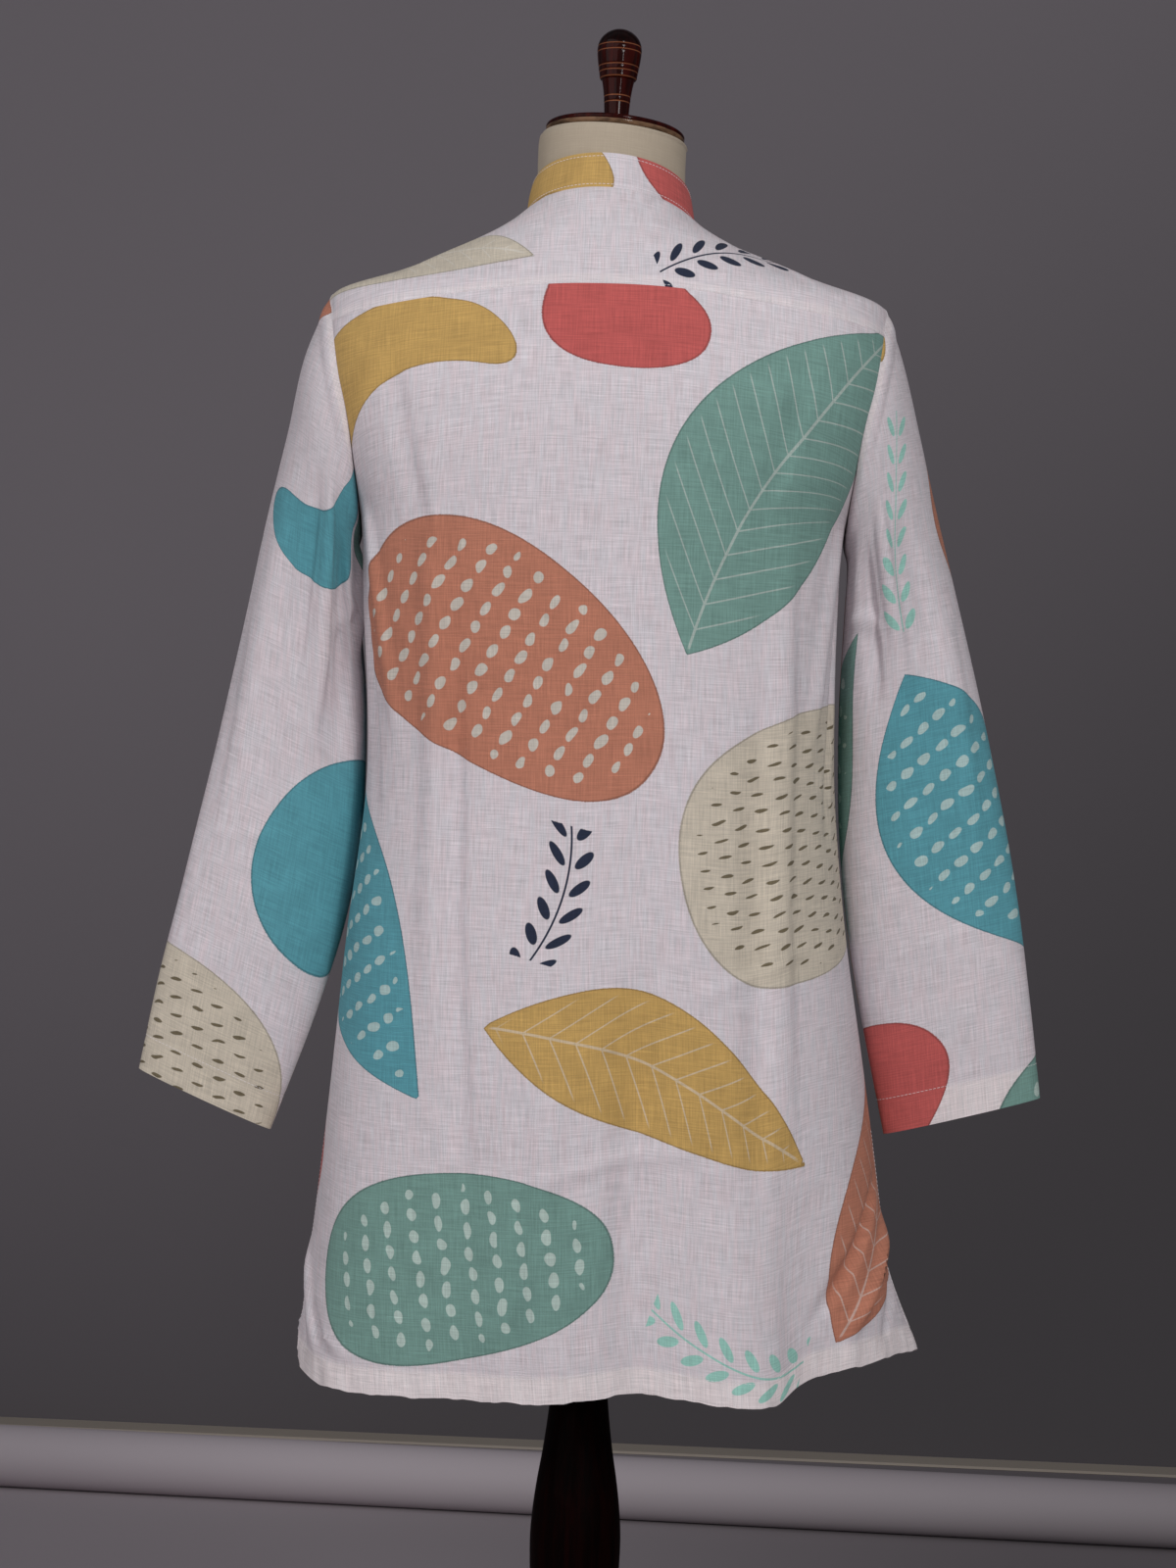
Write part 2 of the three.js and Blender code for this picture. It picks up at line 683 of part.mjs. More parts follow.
function collar() {
  const neck = rowAt(BODY, 'z', NECKLINE);
  const endAngle = COLLAR_END_GAP / 2 / neck.front;
  const start = -Math.PI / 2 + endAngle;
  const sweep = 2 * Math.PI - 2 * endAngle;
  const grid = [0, 1, 2].map(() => []);
  for (let c = 0; c <= COLLAR_COLUMNS; c += 1) {
    const angle = start + (sweep * c) / COLLAR_COLUMNS;
    const fromEnd = Math.min(c, COLLAR_COLUMNS - c) * (sweep / COLLAR_COLUMNS) * neck.front;
    const drop = COLLAR_CORNER_DROP * clamp(1 - fromEnd / COLLAR_CORNER, 0, 1) ** 2;
    grid.forEach((row, r) => {
      const share = r / (grid.length - 1);
      const radius = neck.half - COLLAR_LEAN * share;
      const rise = SEAM_GAP + SEAM_SLACK + (COLLAR_HEIGHT - drop) * share;
      const slope = neck.tilt * Math.sin(angle) + neck.tip * Math.cos(angle);
      const height = NECKLINE + slope + rise;
      const point = (r2) =>
        new THREE.Vector3(r2 * Math.cos(angle), neck.midY + r2 * Math.sin(angle), height);
      row.push({ outer: point(radius), inner: point(radius - COLLAR_CLOTH) });
    });
  }
  return wallGeometry(grid);
}

// The placket is the front's own middle columns, moved out
function placketGrid() {
  const first = FRONT_COLUMNS / 2 - 1;
  const rows = FRONT_GRID.slice(PLACKET_ROW).map((row) => {
    return row.slice(first, first + 4).map(({ outer, normal }) => ({
      outer: outer.clone().addScaledVector(normal, SEAM_GAP + PLACKET_CLOTH),
      inner: outer.clone().addScaledVector(normal, SEAM_GAP),
      normal,
    }));
  });
  const top = rows[rows.length - 1];
  const below = rows[rows.length - 2];
  top.forEach((place, c) => {
    place.outer.lerp(below[c].outer, PLACKET_HELD_BACK);
    place.inner.lerp(below[c].inner, PLACKET_HELD_BACK);
  });
  return rows;
}

const PLACKET_GRID = placketGrid();

function turned(profile, sides) {
  const points = profile.map(([radius, height]) => new THREE.Vector2(radius, height));
  return new THREE.LatheGeometry(points, sides).rotateX(Math.PI / 2);
}

// Buttons are evenly spaced down the placket's middle, the first near the neckline
function buttonMesh(number) {
  const line = PLACKET_GRID.map((row) => row[1].outer.clone().lerp(row[2].outer, 0.5)).reverse();
  let along = BUTTON_START + (number - 1) * BUTTON_PITCH;
  let i = 0;
  while (along > line[i].distanceTo(line[i + 1])) {
    along -= line[i].distanceTo(line[i + 1]);
    i += 1;
  }
  const down = line[i + 1].clone().sub(line[i]).normalize();
  const normal = down.clone().cross(new THREE.Vector3(1, 0, 0)).normalize();
  const mesh = part(`button_${number}`, turned(BUTTON_PROFILE, 12), MATERIALS.button);
  mesh.position.copy(line[i]).addScaledVector(down, along).addScaledVector(normal, SEAM_GAP);
  mesh.quaternion.setFromUnitVectors(new THREE.Vector3(0, 0, 1), normal);
  return mesh;
}

// Dress form

function formTorso() {
  const rings = [];
  const ring = (pointOf) => {
    rings.push(Array.from({ length: FORM_SIDES }, (_, i) => pointOf((i / FORM_SIDES) * 2 * Math.PI)));
  };
  const inside = (angle, level, extra) => {
    const ease = rowAt(FORM_EASE, 'z', level).room + FORM_SIDE_ROOM * Math.sin(angle) ** 2;
    const room = CLOTH + ease + extra;
    const point = bodyPoint('form', angle, level);
    return point.addScaledVector(bodyNormal('form', angle, level), -room);
  };
  const lowest = FORM_LEVELS[0];
  for (const { z, inset } of FORM_BOTTOM) {
    ring((angle) => inside(angle, lowest, inset).setZ(z));
  }
  for (const level of FORM_LEVELS) {
    ring((angle) => inside(angle, level, 0));
  }
  for (const { z, radius, midX, tilt, tip } of FORM_NECK) {
    ring((angle) => {
      const across = Math.cos(angle);
      const back = Math.sin(angle);
      const x = midX + radius * across;
      return new THREE.Vector3(x, NECK_MIDDLE_Y + radius * back, z + tilt * back + tip * across);
    });
  }
  const positions = rings.flat().flatMap((point) => point.toArray());
  const index = [];
  for (let r = 0; r + 1 < rings.length; r += 1) {
    for (let i = 0; i < FORM_SIDES; i += 1) {
      const a = r * FORM_SIDES + i;
      const b = r * FORM_SIDES + ((i + 1) % FORM_SIDES);
      index.push(a, b, b + FORM_SIDES, a, b + FORM_SIDES, a + FORM_SIDES);
    }
  }
  const top = (rings.length - 1) * FORM_SIDES;
  for (let i = 1; i + 1 < FORM_SIDES; i += 1) {
    index.push(0, i + 1, i, top, top + i, top + i + 1);
  }
  const geometry = new THREE.BufferGeometry();
  geometry.setAttribute('position', new THREE.Float32BufferAttribute(positions, 3));
  geometry.setIndex(index);
  geometry.computeVertexNormals();
  return geometry;
}

// Materials and the assembled object

const MATERIALS = {
  linen: new THREE.MeshStandardMaterial({ color: '#d9d2d6', roughness: 0.85, metalness: 0 }),
  form: new THREE.MeshStandardMaterial({ color: '#c9bfae', roughness: 0.9, metalness: 0 }),
  wood: new THREE.MeshStandardMaterial({ color: '#3a130d', roughness: 0.25, metalness: 0 }),
  button: new THREE.MeshStandardMaterial({ color: '#e8e2d8', roughness: 0.35, metalness: 0 }),
};

function part(name, geometry, material) {
  const mesh = new THREE.Mesh(geometry, material.clone());
  mesh.name = name;
  return mesh;
}

function stand() {
  const group = new THREE.Group();
  group.add(part('stand_base', turned(BASE_PROFILE, 40), MATERIALS.wood));
  const column = part('stand_column', turned(COLUMN_PROFILE, 20), MATERIALS.wood);
  column.position.z = BASE_HEIGHT + SEAM_GAP;
  group.add(column);
  return group;
}

// The cap lies along the neck's top, and the finial on it stands more upright
function neckTop() {
  const up = new THREE.Vector3(0, 0, 1);
  const top = FORM_NECK[FORM_NECK.length - 1];
  const foot = new THREE.Vector3(top.midX, NECK_MIDDLE_Y, top.z);
  const facing = new THREE.Vector3(-top.tip, -top.tilt, top.radius).normalize();
  const cap = part('neck_cap', turned(CAP_PROFILE, 32), MATERIALS.wood);
  cap.position.copy(foot).addScaledVector(facing, SEAM_GAP);
  cap.quaternion.setFromUnitVectors(up, facing);
  const finial = part('finial', turned(FINIAL_PROFILE, 20), MATERIALS.wood);
  finial.position.copy(foot).addScaledVector(facing, CAP_HEIGHT + FINIAL_SEAT);
  finial.quaternion.setFromUnitVectors(up, new THREE.Vector3(-FINIAL_TIP, -top.tilt, top.radius).normalize());
  const group = new THREE.Group();
  group.add(cap, finial);
  return group;
}

const kurta = new THREE.Group();
kurta.add(part('back', backPanel(), MATERIALS.linen));
kurta.add(part('front', frontPanel(), MATERIALS.linen));
kurta.add(part('yoke', yoke(), MATERIALS.linen));
kurta.add(part('sleeve_left', sleeve(LEFT_SLEEVE, LEFT_SLEEVE_FOLDS, false), MATERIALS.linen));
kurta.add(part('sleeve_right', sleeve(RIGHT_SLEEVE, RIGHT_SLEEVE_FOLDS, true), MATERIALS.linen));
kurta.add(part('collar', collar(), MATERIALS.linen));
kurta.add(part('placket', wallGeometry(PLACKET_GRID), MATERIALS.linen));
for (let number = 1; number <= BUTTON_COUNT; number += 1) {
  kurta.add(buttonMesh(number));
}

const object = new THREE.Group();
object.add(kurta, part('form_torso', formTorso(), MATERIALS.form), stand(), neckTop());

export default object;
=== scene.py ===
# A long-sleeved printed linen kurta on a limbless dress form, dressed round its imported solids.
# Metres, plus Z up. The wearer faces minus Y and the wearer's left is plus X.
import math

import bmesh
import bpy
import numpy as np
from mathutils import Matrix, Vector


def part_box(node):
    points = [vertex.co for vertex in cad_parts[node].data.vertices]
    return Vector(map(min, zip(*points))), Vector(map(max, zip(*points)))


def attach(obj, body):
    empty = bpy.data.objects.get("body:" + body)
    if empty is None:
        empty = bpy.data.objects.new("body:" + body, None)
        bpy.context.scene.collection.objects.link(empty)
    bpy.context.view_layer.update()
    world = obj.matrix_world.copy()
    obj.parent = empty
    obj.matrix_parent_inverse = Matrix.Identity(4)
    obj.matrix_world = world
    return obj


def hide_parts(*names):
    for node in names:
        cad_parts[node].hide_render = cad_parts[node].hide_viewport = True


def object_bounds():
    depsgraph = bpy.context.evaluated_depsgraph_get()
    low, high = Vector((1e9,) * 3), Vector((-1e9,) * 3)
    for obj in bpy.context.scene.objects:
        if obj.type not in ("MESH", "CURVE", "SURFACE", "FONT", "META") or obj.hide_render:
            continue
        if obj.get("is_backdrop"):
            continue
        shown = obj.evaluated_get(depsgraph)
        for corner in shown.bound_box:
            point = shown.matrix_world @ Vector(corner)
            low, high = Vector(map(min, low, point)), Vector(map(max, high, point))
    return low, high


bl_info = {
    "name": "Kurta on a dress form",
    "version": (1, 0, 0),
    "blender": (4, 5, 0),
    "location": "3D View > Sidebar > Kurta",
    "description": "Makes a printed linen kurta and the dress form that wears it",
    "category": "Object",
}

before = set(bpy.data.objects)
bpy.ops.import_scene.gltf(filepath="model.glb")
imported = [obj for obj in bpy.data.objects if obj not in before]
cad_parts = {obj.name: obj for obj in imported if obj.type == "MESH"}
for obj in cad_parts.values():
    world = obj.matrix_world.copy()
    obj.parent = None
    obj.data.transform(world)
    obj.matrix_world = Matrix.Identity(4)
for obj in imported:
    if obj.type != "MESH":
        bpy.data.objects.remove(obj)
CAD_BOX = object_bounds()


# Tables and readings


def table(columns, *rows):
    """A table's columns by name."""
    return {name: np.array(values, float) for name, values in zip(columns.split(), zip(*rows))}


def rows_of(rows):
    """A table's rows, one after another."""
    return zip(*rows.values())


def read(rows, key, at, column):
    """A column of a table at any value of its key, smooth through the rows given."""
    keys, values = rows[key], rows[column]
    at = np.clip(at, keys[0], keys[-1])
    low = np.clip(np.searchsorted(keys, at, side="left") - 1, 0, len(keys) - 2)
    slopes = np.empty_like(values)
    slopes[1:-1] = (values[2:] - values[:-2]) / (keys[2:] - keys[:-2])
    slopes[0] = (values[1] - values[0]) / (keys[1] - keys[0])
    slopes[-1] = (values[-1] - values[-2]) / (keys[-1] - keys[-2])
    gap = keys[low + 1] - keys[low]
    t = (at - keys[low]) / gap
    start, end = values[low], values[low + 1]
    leave = t * (1 - t) ** 2 * gap * slopes[low]
    arrive = t * t * (1 - t) * gap * slopes[low + 1]
    return start + (end - start) * t * t * (3 - 2 * t) + leave - arrive


def hump(distance, spread):
    """A soft hump, 1 at the middle and 0 from one spread away."""
    return (1 - np.clip(np.abs(distance) / spread, 0, 1) ** 2) ** 2


def mix(a, b, t):
    return a + (b - a) * t


def arch(u):
    """1 at the middle of a line and 0 at its ends, nearly flat on top."""
    return 1 - np.abs(2 * u - 1) ** 3


def degrees_past(angle, at):
    """How far one angle in degrees is past another, from -180 to 180."""
    return np.mod(angle - at + 180, 360) - 180


def ease(value):
    """A smooth step from 0 to 1."""
    t = np.clip(value, 0, 1)
    return t * t * (3 - 2 * t)


# Sizes that the solids are cut from

SEAM_GAP = 0.0003
CLOTH_WALL = 0.0016
HEM_HEIGHT = 0.548
SLIT_HEIGHT = 0.170
BACK_YOKE_MIDDLE = 1.387
NECKLINE = 1.450
ARMHOLE_STEPS = 24
UNDERARM_STEP = 18
BACK_YOKE_STEP = 3
FRONT_YOKE_STEP = 8
YOKE_NECK_ANGLE = math.radians(-24)
ARMHOLE_MIDDLE_Z = 1.3025
ARMHOLE_HALF_DEPTH = 0.066
ARMHOLE_HALF_HEIGHT = 0.088
PLACKET_WIDTH = 0.030
PLACKET_SLIT = 0.003
BUTTON_COUNT = 4
COLLAR_HEIGHT = 0.0265
COLLAR_LEAN = 0.0044
COLLAR_END_GAP = 0.0025
COLLAR_CORNER = 0.022
COLLAR_CORNER_DROP = 0.008

# How thick the linen shows, single and where it is turned under

LINEN = 0.0007
HEM_LINEN = 0.0015
BODY_HEM = 0.019
SLIT_HEM = 0.009
CUFF_HEM = 0.027

BODY = table(
    "z half back front power mid_x mid_y tilt tip",
    (0.500, 0.2400, 0.134, 0.132, 2.20, -0.015, 0.000, 0.000, 0.0000),
    (0.550, 0.2350, 0.134, 0.132, 2.20, -0.014, 0.000, 0.000, 0.0000),
    (0.620, 0.2270, 0.132, 0.131, 2.20, -0.012, 0.000, 0.000, 0.0000),
    (0.700, 0.2180, 0.129, 0.130, 2.20, -0.011, -0.001, 0.000, 0.0000),
    (0.800, 0.2060, 0.126, 0.129, 2.25, -0.008, -0.002, 0.000, 0.0000),
    (0.900, 0.1940, 0.123, 0.128, 2.30, -0.004, -0.004, 0.000, 0.0000),
    (1.000, 0.1830, 0.120, 0.128, 2.40, -0.004, -0.005, 0.000, 0.0000),
    (1.060, 0.1815, 0.119, 0.128, 2.50, -0.003, -0.005, 0.000, 0.0000),
    (1.150, 0.1845, 0.120, 0.130, 2.60, 0.000, -0.005, 0.000, 0.0000),
    (1.214, 0.1880, 0.121, 0.131, 2.80, 0.000, -0.005, 0.000, 0.0000),
    (1.260, 0.2010, 0.121, 0.131, 3.00, 0.000, -0.005, 0.000, 0.0000),
    (1.300, 0.2130, 0.120, 0.129, 3.00, 0.000, -0.005, 0.000, 0.0000),
    (1.325, 0.2190, 0.117, 0.127, 3.00, 0.000, -0.005, 0.000, 0.0000),
    (1.350, 0.2220, 0.113, 0.123, 2.80, 0.000, -0.005, 0.001, 0.0000),
    (1.372, 0.2200, 0.108, 0.117, 2.60, 0.000, -0.005, 0.004, 0.0000),
    (1.391, 0.2120, 0.102, 0.111, 2.40, 0.000, -0.005, 0.008, 0.0000),
    (1.406, 0.1680, 0.095, 0.103, 2.20, 0.000, -0.006, 0.011, 0.0000),
    (1.424, 0.1190, 0.086, 0.092, 2.05, 0.000, -0.007, 0.015, 0.0016),
    (1.439, 0.0845, 0.076, 0.079, 2.00, 0.000, -0.008, 0.0190, 0.0030),
    (1.450, 0.0660, 0.066, 0.066, 2.00, 0.000, -0.008, 0.0225, 0.0036),
    (1.462, 0.0400, 0.056, 0.053, 2.00, 0.000, -0.008, 0.0245, 0.0040),
)

HEM_LINE = table(
    "angle z",
    (0, 0.570), (8, 0.558), (23, 0.549), (50, 0.548), (76, 0.549), (104, 0.557), (120, 0.552),
    (134, 0.548), (143, 0.555), (151, 0.568), (165, 0.579), (180, 0.583), (200, 0.560), (232, 0.547),
    (262, 0.553), (293, 0.547), (325, 0.550), (348, 0.558), (360, 0.570),
)

BODY_FOLDS = {
    "back": table(
        "angle spread top depth",
        (23, 13, 0.900, 0.006), (47, 15, 1.080, -0.007), (76, 14, 0.960, 0.007), (104, 15, 0.980, -0.011),
        (133, 12, 0.860, 0.008), (150, 11, 0.800, -0.012), (177, 17, 0.655, 0.014),
    ),
    "front": table(
        "angle spread top depth",
        (205, 14, 0.860, -0.007), (232, 15, 0.980, 0.008), (262, 16, 1.000, -0.009),
        (293, 15, 0.940, 0.008), (325, 15, 1.040, -0.008),
    ),
}

# How fast a hanging fold deepens on its way down
FOLD_GROWTH = 1.5

SLEEVE_COLUMNS = "outer_x outer_z inner_x inner_z half_depth mid_y"
SLEEVES = {
    "left": table(
        SLEEVE_COLUMNS,
        (0.2350, 1.343, 0.1905, 1.190, 0.065, -0.008),
        (0.2470, 1.283, 0.1885, 1.158, 0.062, -0.013),
        (0.2615, 1.221, 0.1855, 1.120, 0.057, -0.019),
        (0.2740, 1.160, 0.1820, 1.082, 0.052, -0.023),
        (0.2880, 1.088, 0.1805, 1.032, 0.046, -0.024),
        (0.3040, 1.008, 0.1820, 0.972, 0.039, -0.022),
        (0.3210, 0.930, 0.1930, 0.901, 0.032, -0.018),
        (0.3370, 0.860, 0.2140, 0.829, 0.026, -0.015),
        (0.3510, 0.783, 0.2465, 0.738, 0.020, -0.014),
    ),
    "right": table(
        SLEEVE_COLUMNS,
        (0.2300, 1.350, 0.1915, 1.190, 0.065, -0.008),
        (0.2470, 1.288, 0.1910, 1.158, 0.062, -0.013),
        (0.2630, 1.226, 0.1900, 1.122, 0.057, -0.019),
        (0.2800, 1.163, 0.1890, 1.084, 0.052, -0.023),
        (0.2990, 1.088, 0.1895, 1.034, 0.046, -0.024),
        (0.3170, 1.010, 0.1920, 0.974, 0.039, -0.022),
        (0.3320, 0.935, 0.2000, 0.904, 0.032, -0.018),
        (0.3430, 0.862, 0.2130, 0.834, 0.026, -0.015),
        (0.3540, 0.779, 0.2320, 0.7475, 0.020, -0.014),
    ),
}
SLEEVE_POWER = 2.3
SLEEVE_FOLD_COLUMNS = "turn spread start end depth"
SLEEVE_FOLDS = {
    "left": table(
        SLEEVE_FOLD_COLUMNS,
        (322, 26, 0.6, 6.5, -0.009), (20, 24, 1.5, 7.5, -0.005), (196, 26, 1.0, 7.0, -0.008),
    ),
    "right": table(
        SLEEVE_FOLD_COLUMNS,
        (330, 24, 0.6, 5.0, -0.008), (15, 26, 3.0, 8.4, -0.005), (190, 26, 1.0, 7.0, -0.008),
    ),
}

FORM_SIDE_ROOM = 0.0024
FORM_EASE = table(
    "z room",
    (0.780, 0.034), (0.850, 0.030), (0.950, 0.022), (1.080, 0.030), (1.180, 0.018), (1.260, 0.014),
    (1.320, 0.013), (1.350, 0.013), (1.372, 0.011), (1.391, 0.006), (1.404, 0.002), (1.416, 0.0008),
    (1.452, 0.0008),
)
FORM_NECK = table(
    "z radius mid_x tilt tip",
    (1.452, 0.0615, 0.0000, 0.0220, 0.0036),
    (1.459, 0.0592, 0.0002, 0.0190, 0.0036),
    (1.478, 0.0578, 0.0006, 0.0130, 0.0036),
    (1.500, 0.0576, 0.0008, 0.0090, 0.0036),
    (1.514, 0.0572, 0.0002, 0.0066, 0.0037),
    (1.517, 0.0550, -0.0009, 0.0062, 0.0038),
)
NECK_MIDDLE_Y = -0.008


# The garment's surface, as functions of angle and height


def body(level, column):
    """A column of the body's table at a level."""
    return read(BODY, "z", level, column)


def body_depth(level, back):
    """How deep the body is at a level, on the side that back points to."""
    return np.where(back >= 0, body(level, "back"), body(level, "front"))


def body_point(side, angle, level):
    """The worn body's surface. side picks its hanging folds, and the form has none."""
    across, back = np.cos(angle), np.sin(angle)
    power = body(level, "power")
    share = np.abs(across / body(level, "half")) ** power
    share = share + np.abs(back / body_depth(level, back)) ** power
    reach = share ** (-1 / power)
    for at, spread, top, deep in rows_of(BODY_FOLDS.get(side, {})):
        grown = np.clip((top - level) / (top - HEM_HEIGHT), 0, 1) ** FOLD_GROWTH
        reach = reach + deep * grown * hump(degrees_past(np.degrees(angle), at), spread)
    x = body(level, "mid_x") + reach * across
    y = body(level, "mid_y") + reach * back
    rise = body(level, "tilt") * back + body(level, "tip") * across
    return np.stack([x, y, level + rise], axis=-1)


def unit(vectors):
    return vectors / np.maximum(np.linalg.norm(vectors, axis=-1, keepdims=True), 1e-12)


# Each round brings the level that fits an armhole's height closer
ARMHOLE_ROUNDS = 12


def armhole_place(step):
    """The armhole's angle and level on the body at steps round it, on the wearer's left."""
    turn = np.asarray(step, float) / ARMHOLE_STEPS * 2 * math.pi
    away = ARMHOLE_HALF_DEPTH * np.cos(turn)
    z = ARMHOLE_MIDDLE_Z + ARMHOLE_HALF_HEIGHT * np.sin(turn)
    level = z.copy()
    angle = np.zeros_like(z)
    for _ in range(ARMHOLE_ROUNDS):
        power = body(level, "power")
        x = body(level, "half") * (1 - np.abs(away / body_depth(level, away)) ** power) ** (1 / power)
        angle = np.arctan2(away, x)
        level = z - body(level, "tilt") * np.sin(angle)
    return angle, level


# Shares of the way along a line, close together, for lines that are then spaced evenly
LINE = np.linspace(0, 1, 301)
UNDERARM_LEVEL = float(armhole_place(UNDERARM_STEP)[1])


def spaced_row(side, angles, levels, shares):
    """The angles, levels and length of a line on the body at shares of its own length."""
    points = body_point(side, angles, levels)
    steps = np.linalg.norm(np.diff(points, axis=0), axis=1)
    lengths = np.concatenate([[0], np.cumsum(steps)])
    reached = np.asarray(shares) * lengths[-1]
    return np.interp(reached, lengths, angles), np.interp(reached, lengths, levels), lengths[-1]


def panel_rows(side, start_angle, skirt_rows, chest_rows, shares):
    """The rows of the back or front, from the hem up. Every row is evenly spaced along itself."""
    rows = []
    angles = start_angle + LINE * math.pi
    hem = read(HEM_LINE, "angle", np.degrees(angles), "z")
    for share in np.linspace(0, 1, skirt_rows + 1):
        rows.append(spaced_row(side, angles, mix(hem, UNDERARM_LEVEL, share), shares))
    for start, end, middle in chest_edges(side, chest_rows):
        level = mix(mix(start[1], end[1], LINE), middle, arch(LINE))
        rows.append(spaced_row(side, mix(start[0], end[0], LINE), level, shares))
    return rows


# The share of the front's rows above the underarm that end at the armhole
FRONT_ARM_SHARE = 0.6


def chest_edges(side, count):
    """Both edges and the middle level of each row above the underarm."""
    if side == "back":
        steps = ARMHOLE_STEPS + BACK_YOKE_STEP - UNDERARM_STEP
        for i in np.linspace(0, steps, count + 1)[1:]:
            angle, level = armhole_place(UNDERARM_STEP + i)
            middle = mix(UNDERARM_LEVEL, BACK_YOKE_MIDDLE, i / steps)
            yield (angle, level), (math.pi - angle, level), middle
        return
    steps = UNDERARM_STEP - FRONT_YOKE_STEP
    seam_angle, seam_level = armhole_place(FRONT_YOKE_STEP)
    arm_rows = round(count * FRONT_ARM_SHARE)
    for i in np.linspace(0, steps, arm_rows + 1)[1:]:
        angle, level = armhole_place(UNDERARM_STEP - i)
        middle = mix(UNDERARM_LEVEL, seam_level, i / steps)
        yield (math.pi - angle, level), (2 * math.pi + angle, level), middle
    shares = np.linspace(0, 1, count - arm_rows + 1)
    angles, levels, _ = shoulder_line(seam_angle, seam_level, YOKE_NECK_ANGLE, shares)
    for angle, level in list(zip(angles, levels))[1:]:
        yield (math.pi - angle, level), (2 * math.pi + angle, level), level


def shoulder_line(angle, level, neck_angle, shares):
    """A line over the shoulder from a place on the yoke's outer edge to the neckline."""
    return spaced_row("yoke", mix(angle, neck_angle, LINE), mix(level, NECKLINE, LINE), shares)


# Cloth pieces as grids


CLOTH_SHARP = math.radians(50)


def placed(mesh):
    """A mesh as an object of the same name in the scene."""
    piece = bpy.data.objects.new(mesh.name, mesh)
    bpy.context.scene.collection.objects.link(piece)
    return piece


class Cloth:
    """A piece of cloth as a grid of points, with its flat place in metres and its thickness.

    across and along are the flat place of each point. Where the grid is a tube its last column
    repeats the first one's points.
    """

    def __init__(self, name, points, across, along, tube=False):
        self.name = name
        self.points = points
        self.across = across
        self.along = along
        self.tube = tube
        self.thickness = np.full(across.shape, LINEN)
        self.doubled = np.zeros(across.shape)

    def normals(self):
        if self.tube:
            ring = self.points
            wrapped = np.concatenate([ring[:, -2:-1], ring, ring[:, 1:2]], axis=1)
            side = (wrapped[:, 2:] - wrapped[:, :-2]) / 2
        else:
            side = np.gradient(self.points, axis=1)
        return unit(np.cross(side, np.gradient(self.points, axis=0)))

    def raise_by(self, height):
        """Moves every point out of the surface by a height, in metres."""
        self.points = self.points + self.normals() * height[..., None]

    def tuck(self, row, down, up):
        """Moves an end row in under the cloth next to it, down into the surface and up along it."""
        onward = unit(self.points[row] - self.points[-2 if row == -1 else 1])
        self.points[row] += onward * up - self.normals()[row] * down

    def edge(self, side):
        """How far each point is from one edge of the piece, along the surface."""
        axis = 0 if side in ("bottom", "top") else 1
        steps = np.linalg.norm(np.diff(self.points, axis=axis), axis=-1)
        if side in ("top", "end"):
            steps = np.flip(steps, axis)
        lengths = np.cumsum(steps, axis=axis)
        zero = np.zeros_like(np.take(lengths, [0], axis=axis))
        lengths = np.concatenate([zero, lengths], axis=axis)
        return np.flip(lengths, axis) if side in ("top", "end") else lengths

    def build(self):
        """The piece as a closed thin shell, with its flat place as the UV map."""
        rows, width = self.across.shape
        normals = self.normals()
        inner = self.points - normals * self.thickness[..., None]
        used = width - 1 if self.tube else width
        verts = np.concatenate([grid[:, :used].reshape(-1, 3) for grid in (self.points, inner)])
        r, c = np.mgrid[0 : rows - 1, 0 : width - 1]
        start = (r * width + c).ravel()
        corners = np.stack([start, start + 1, start + width + 1, start + width], 1)
        layer = rows * width
        faces = np.concatenate([corners, corners[:, ::-1] + layer, self.rims(corners, layer)])
        row = faces % layer // width
        column = faces % layer % width
        vert = row * used + column % used + (faces >= layer) * rows * used
        mesh = bpy.data.meshes.new(self.name)
        mesh.from_pydata(verts, [], vert.tolist())
        flat = faces.ravel() % layer
        uv = mesh.uv_layers.new(name="cloth")
        places = np.stack([self.across.ravel()[flat], self.along.ravel()[flat]], 1)
        uv.data.foreach_set("uv", places.ravel())
        self.print_on(mesh, flat)
        mesh.polygons.foreach_set("use_smooth", np.ones(len(mesh.polygons), bool))
        mesh.set_sharp_from_angle(angle=CLOTH_SHARP)
        mesh.update()
        return placed(mesh)

    def rims(self, corners, layer):
        """Quads that close the shell along every edge that only one face has."""
        width = self.across.shape[1]
        pairs = [np.stack([corners[:, i], corners[:, (i + 1) % 4]], 1) for i in range(4)]
        sides = np.concatenate(pairs)
        ends = sides.copy()
        if self.tube:
            at_end = ends % width == width - 1
            ends[at_end] -= width - 1
        low, high = ends.min(1), ends.max(1)
        _, first, counts = np.unique(low * layer + high, return_index=True, return_counts=True)
        free = sides[first[counts == 1]]
        return np.stack([free[:, 1], free[:, 0], free[:, 0] + layer, free[:, 1] + layer], 1)

    def print_on(self, mesh, flat):
        """Stores the printed motif at every corner: its edge, the place in it, its ink and style."""
        reach, along, across, ink = printed(self.name, self.across.ravel(), self.along.ravel())
        place = np.stack([reach, along, across], 1)
        for name, kind, field, values in (
            ("motif", "FLOAT_VECTOR", "vector", place),
            ("ink", "FLOAT_COLOR", "color", ink),
            ("doubled", "FLOAT", "value", self.doubled.ravel()),
        ):
            stored = mesh.attributes.new(name, kind, "CORNER")
            stored.data.foreach_set(field, values[flat].ravel())


# Creases

CREASE_COLUMNS = "from_u from_v to_u to_v width depth bow"
# The shares of a crease over which its two ends fade, and its flanks' widths beside its own
CREASE_ENDS = (0.3, 0.4)
CREASE_FLANKS = (0.75, 1.3)
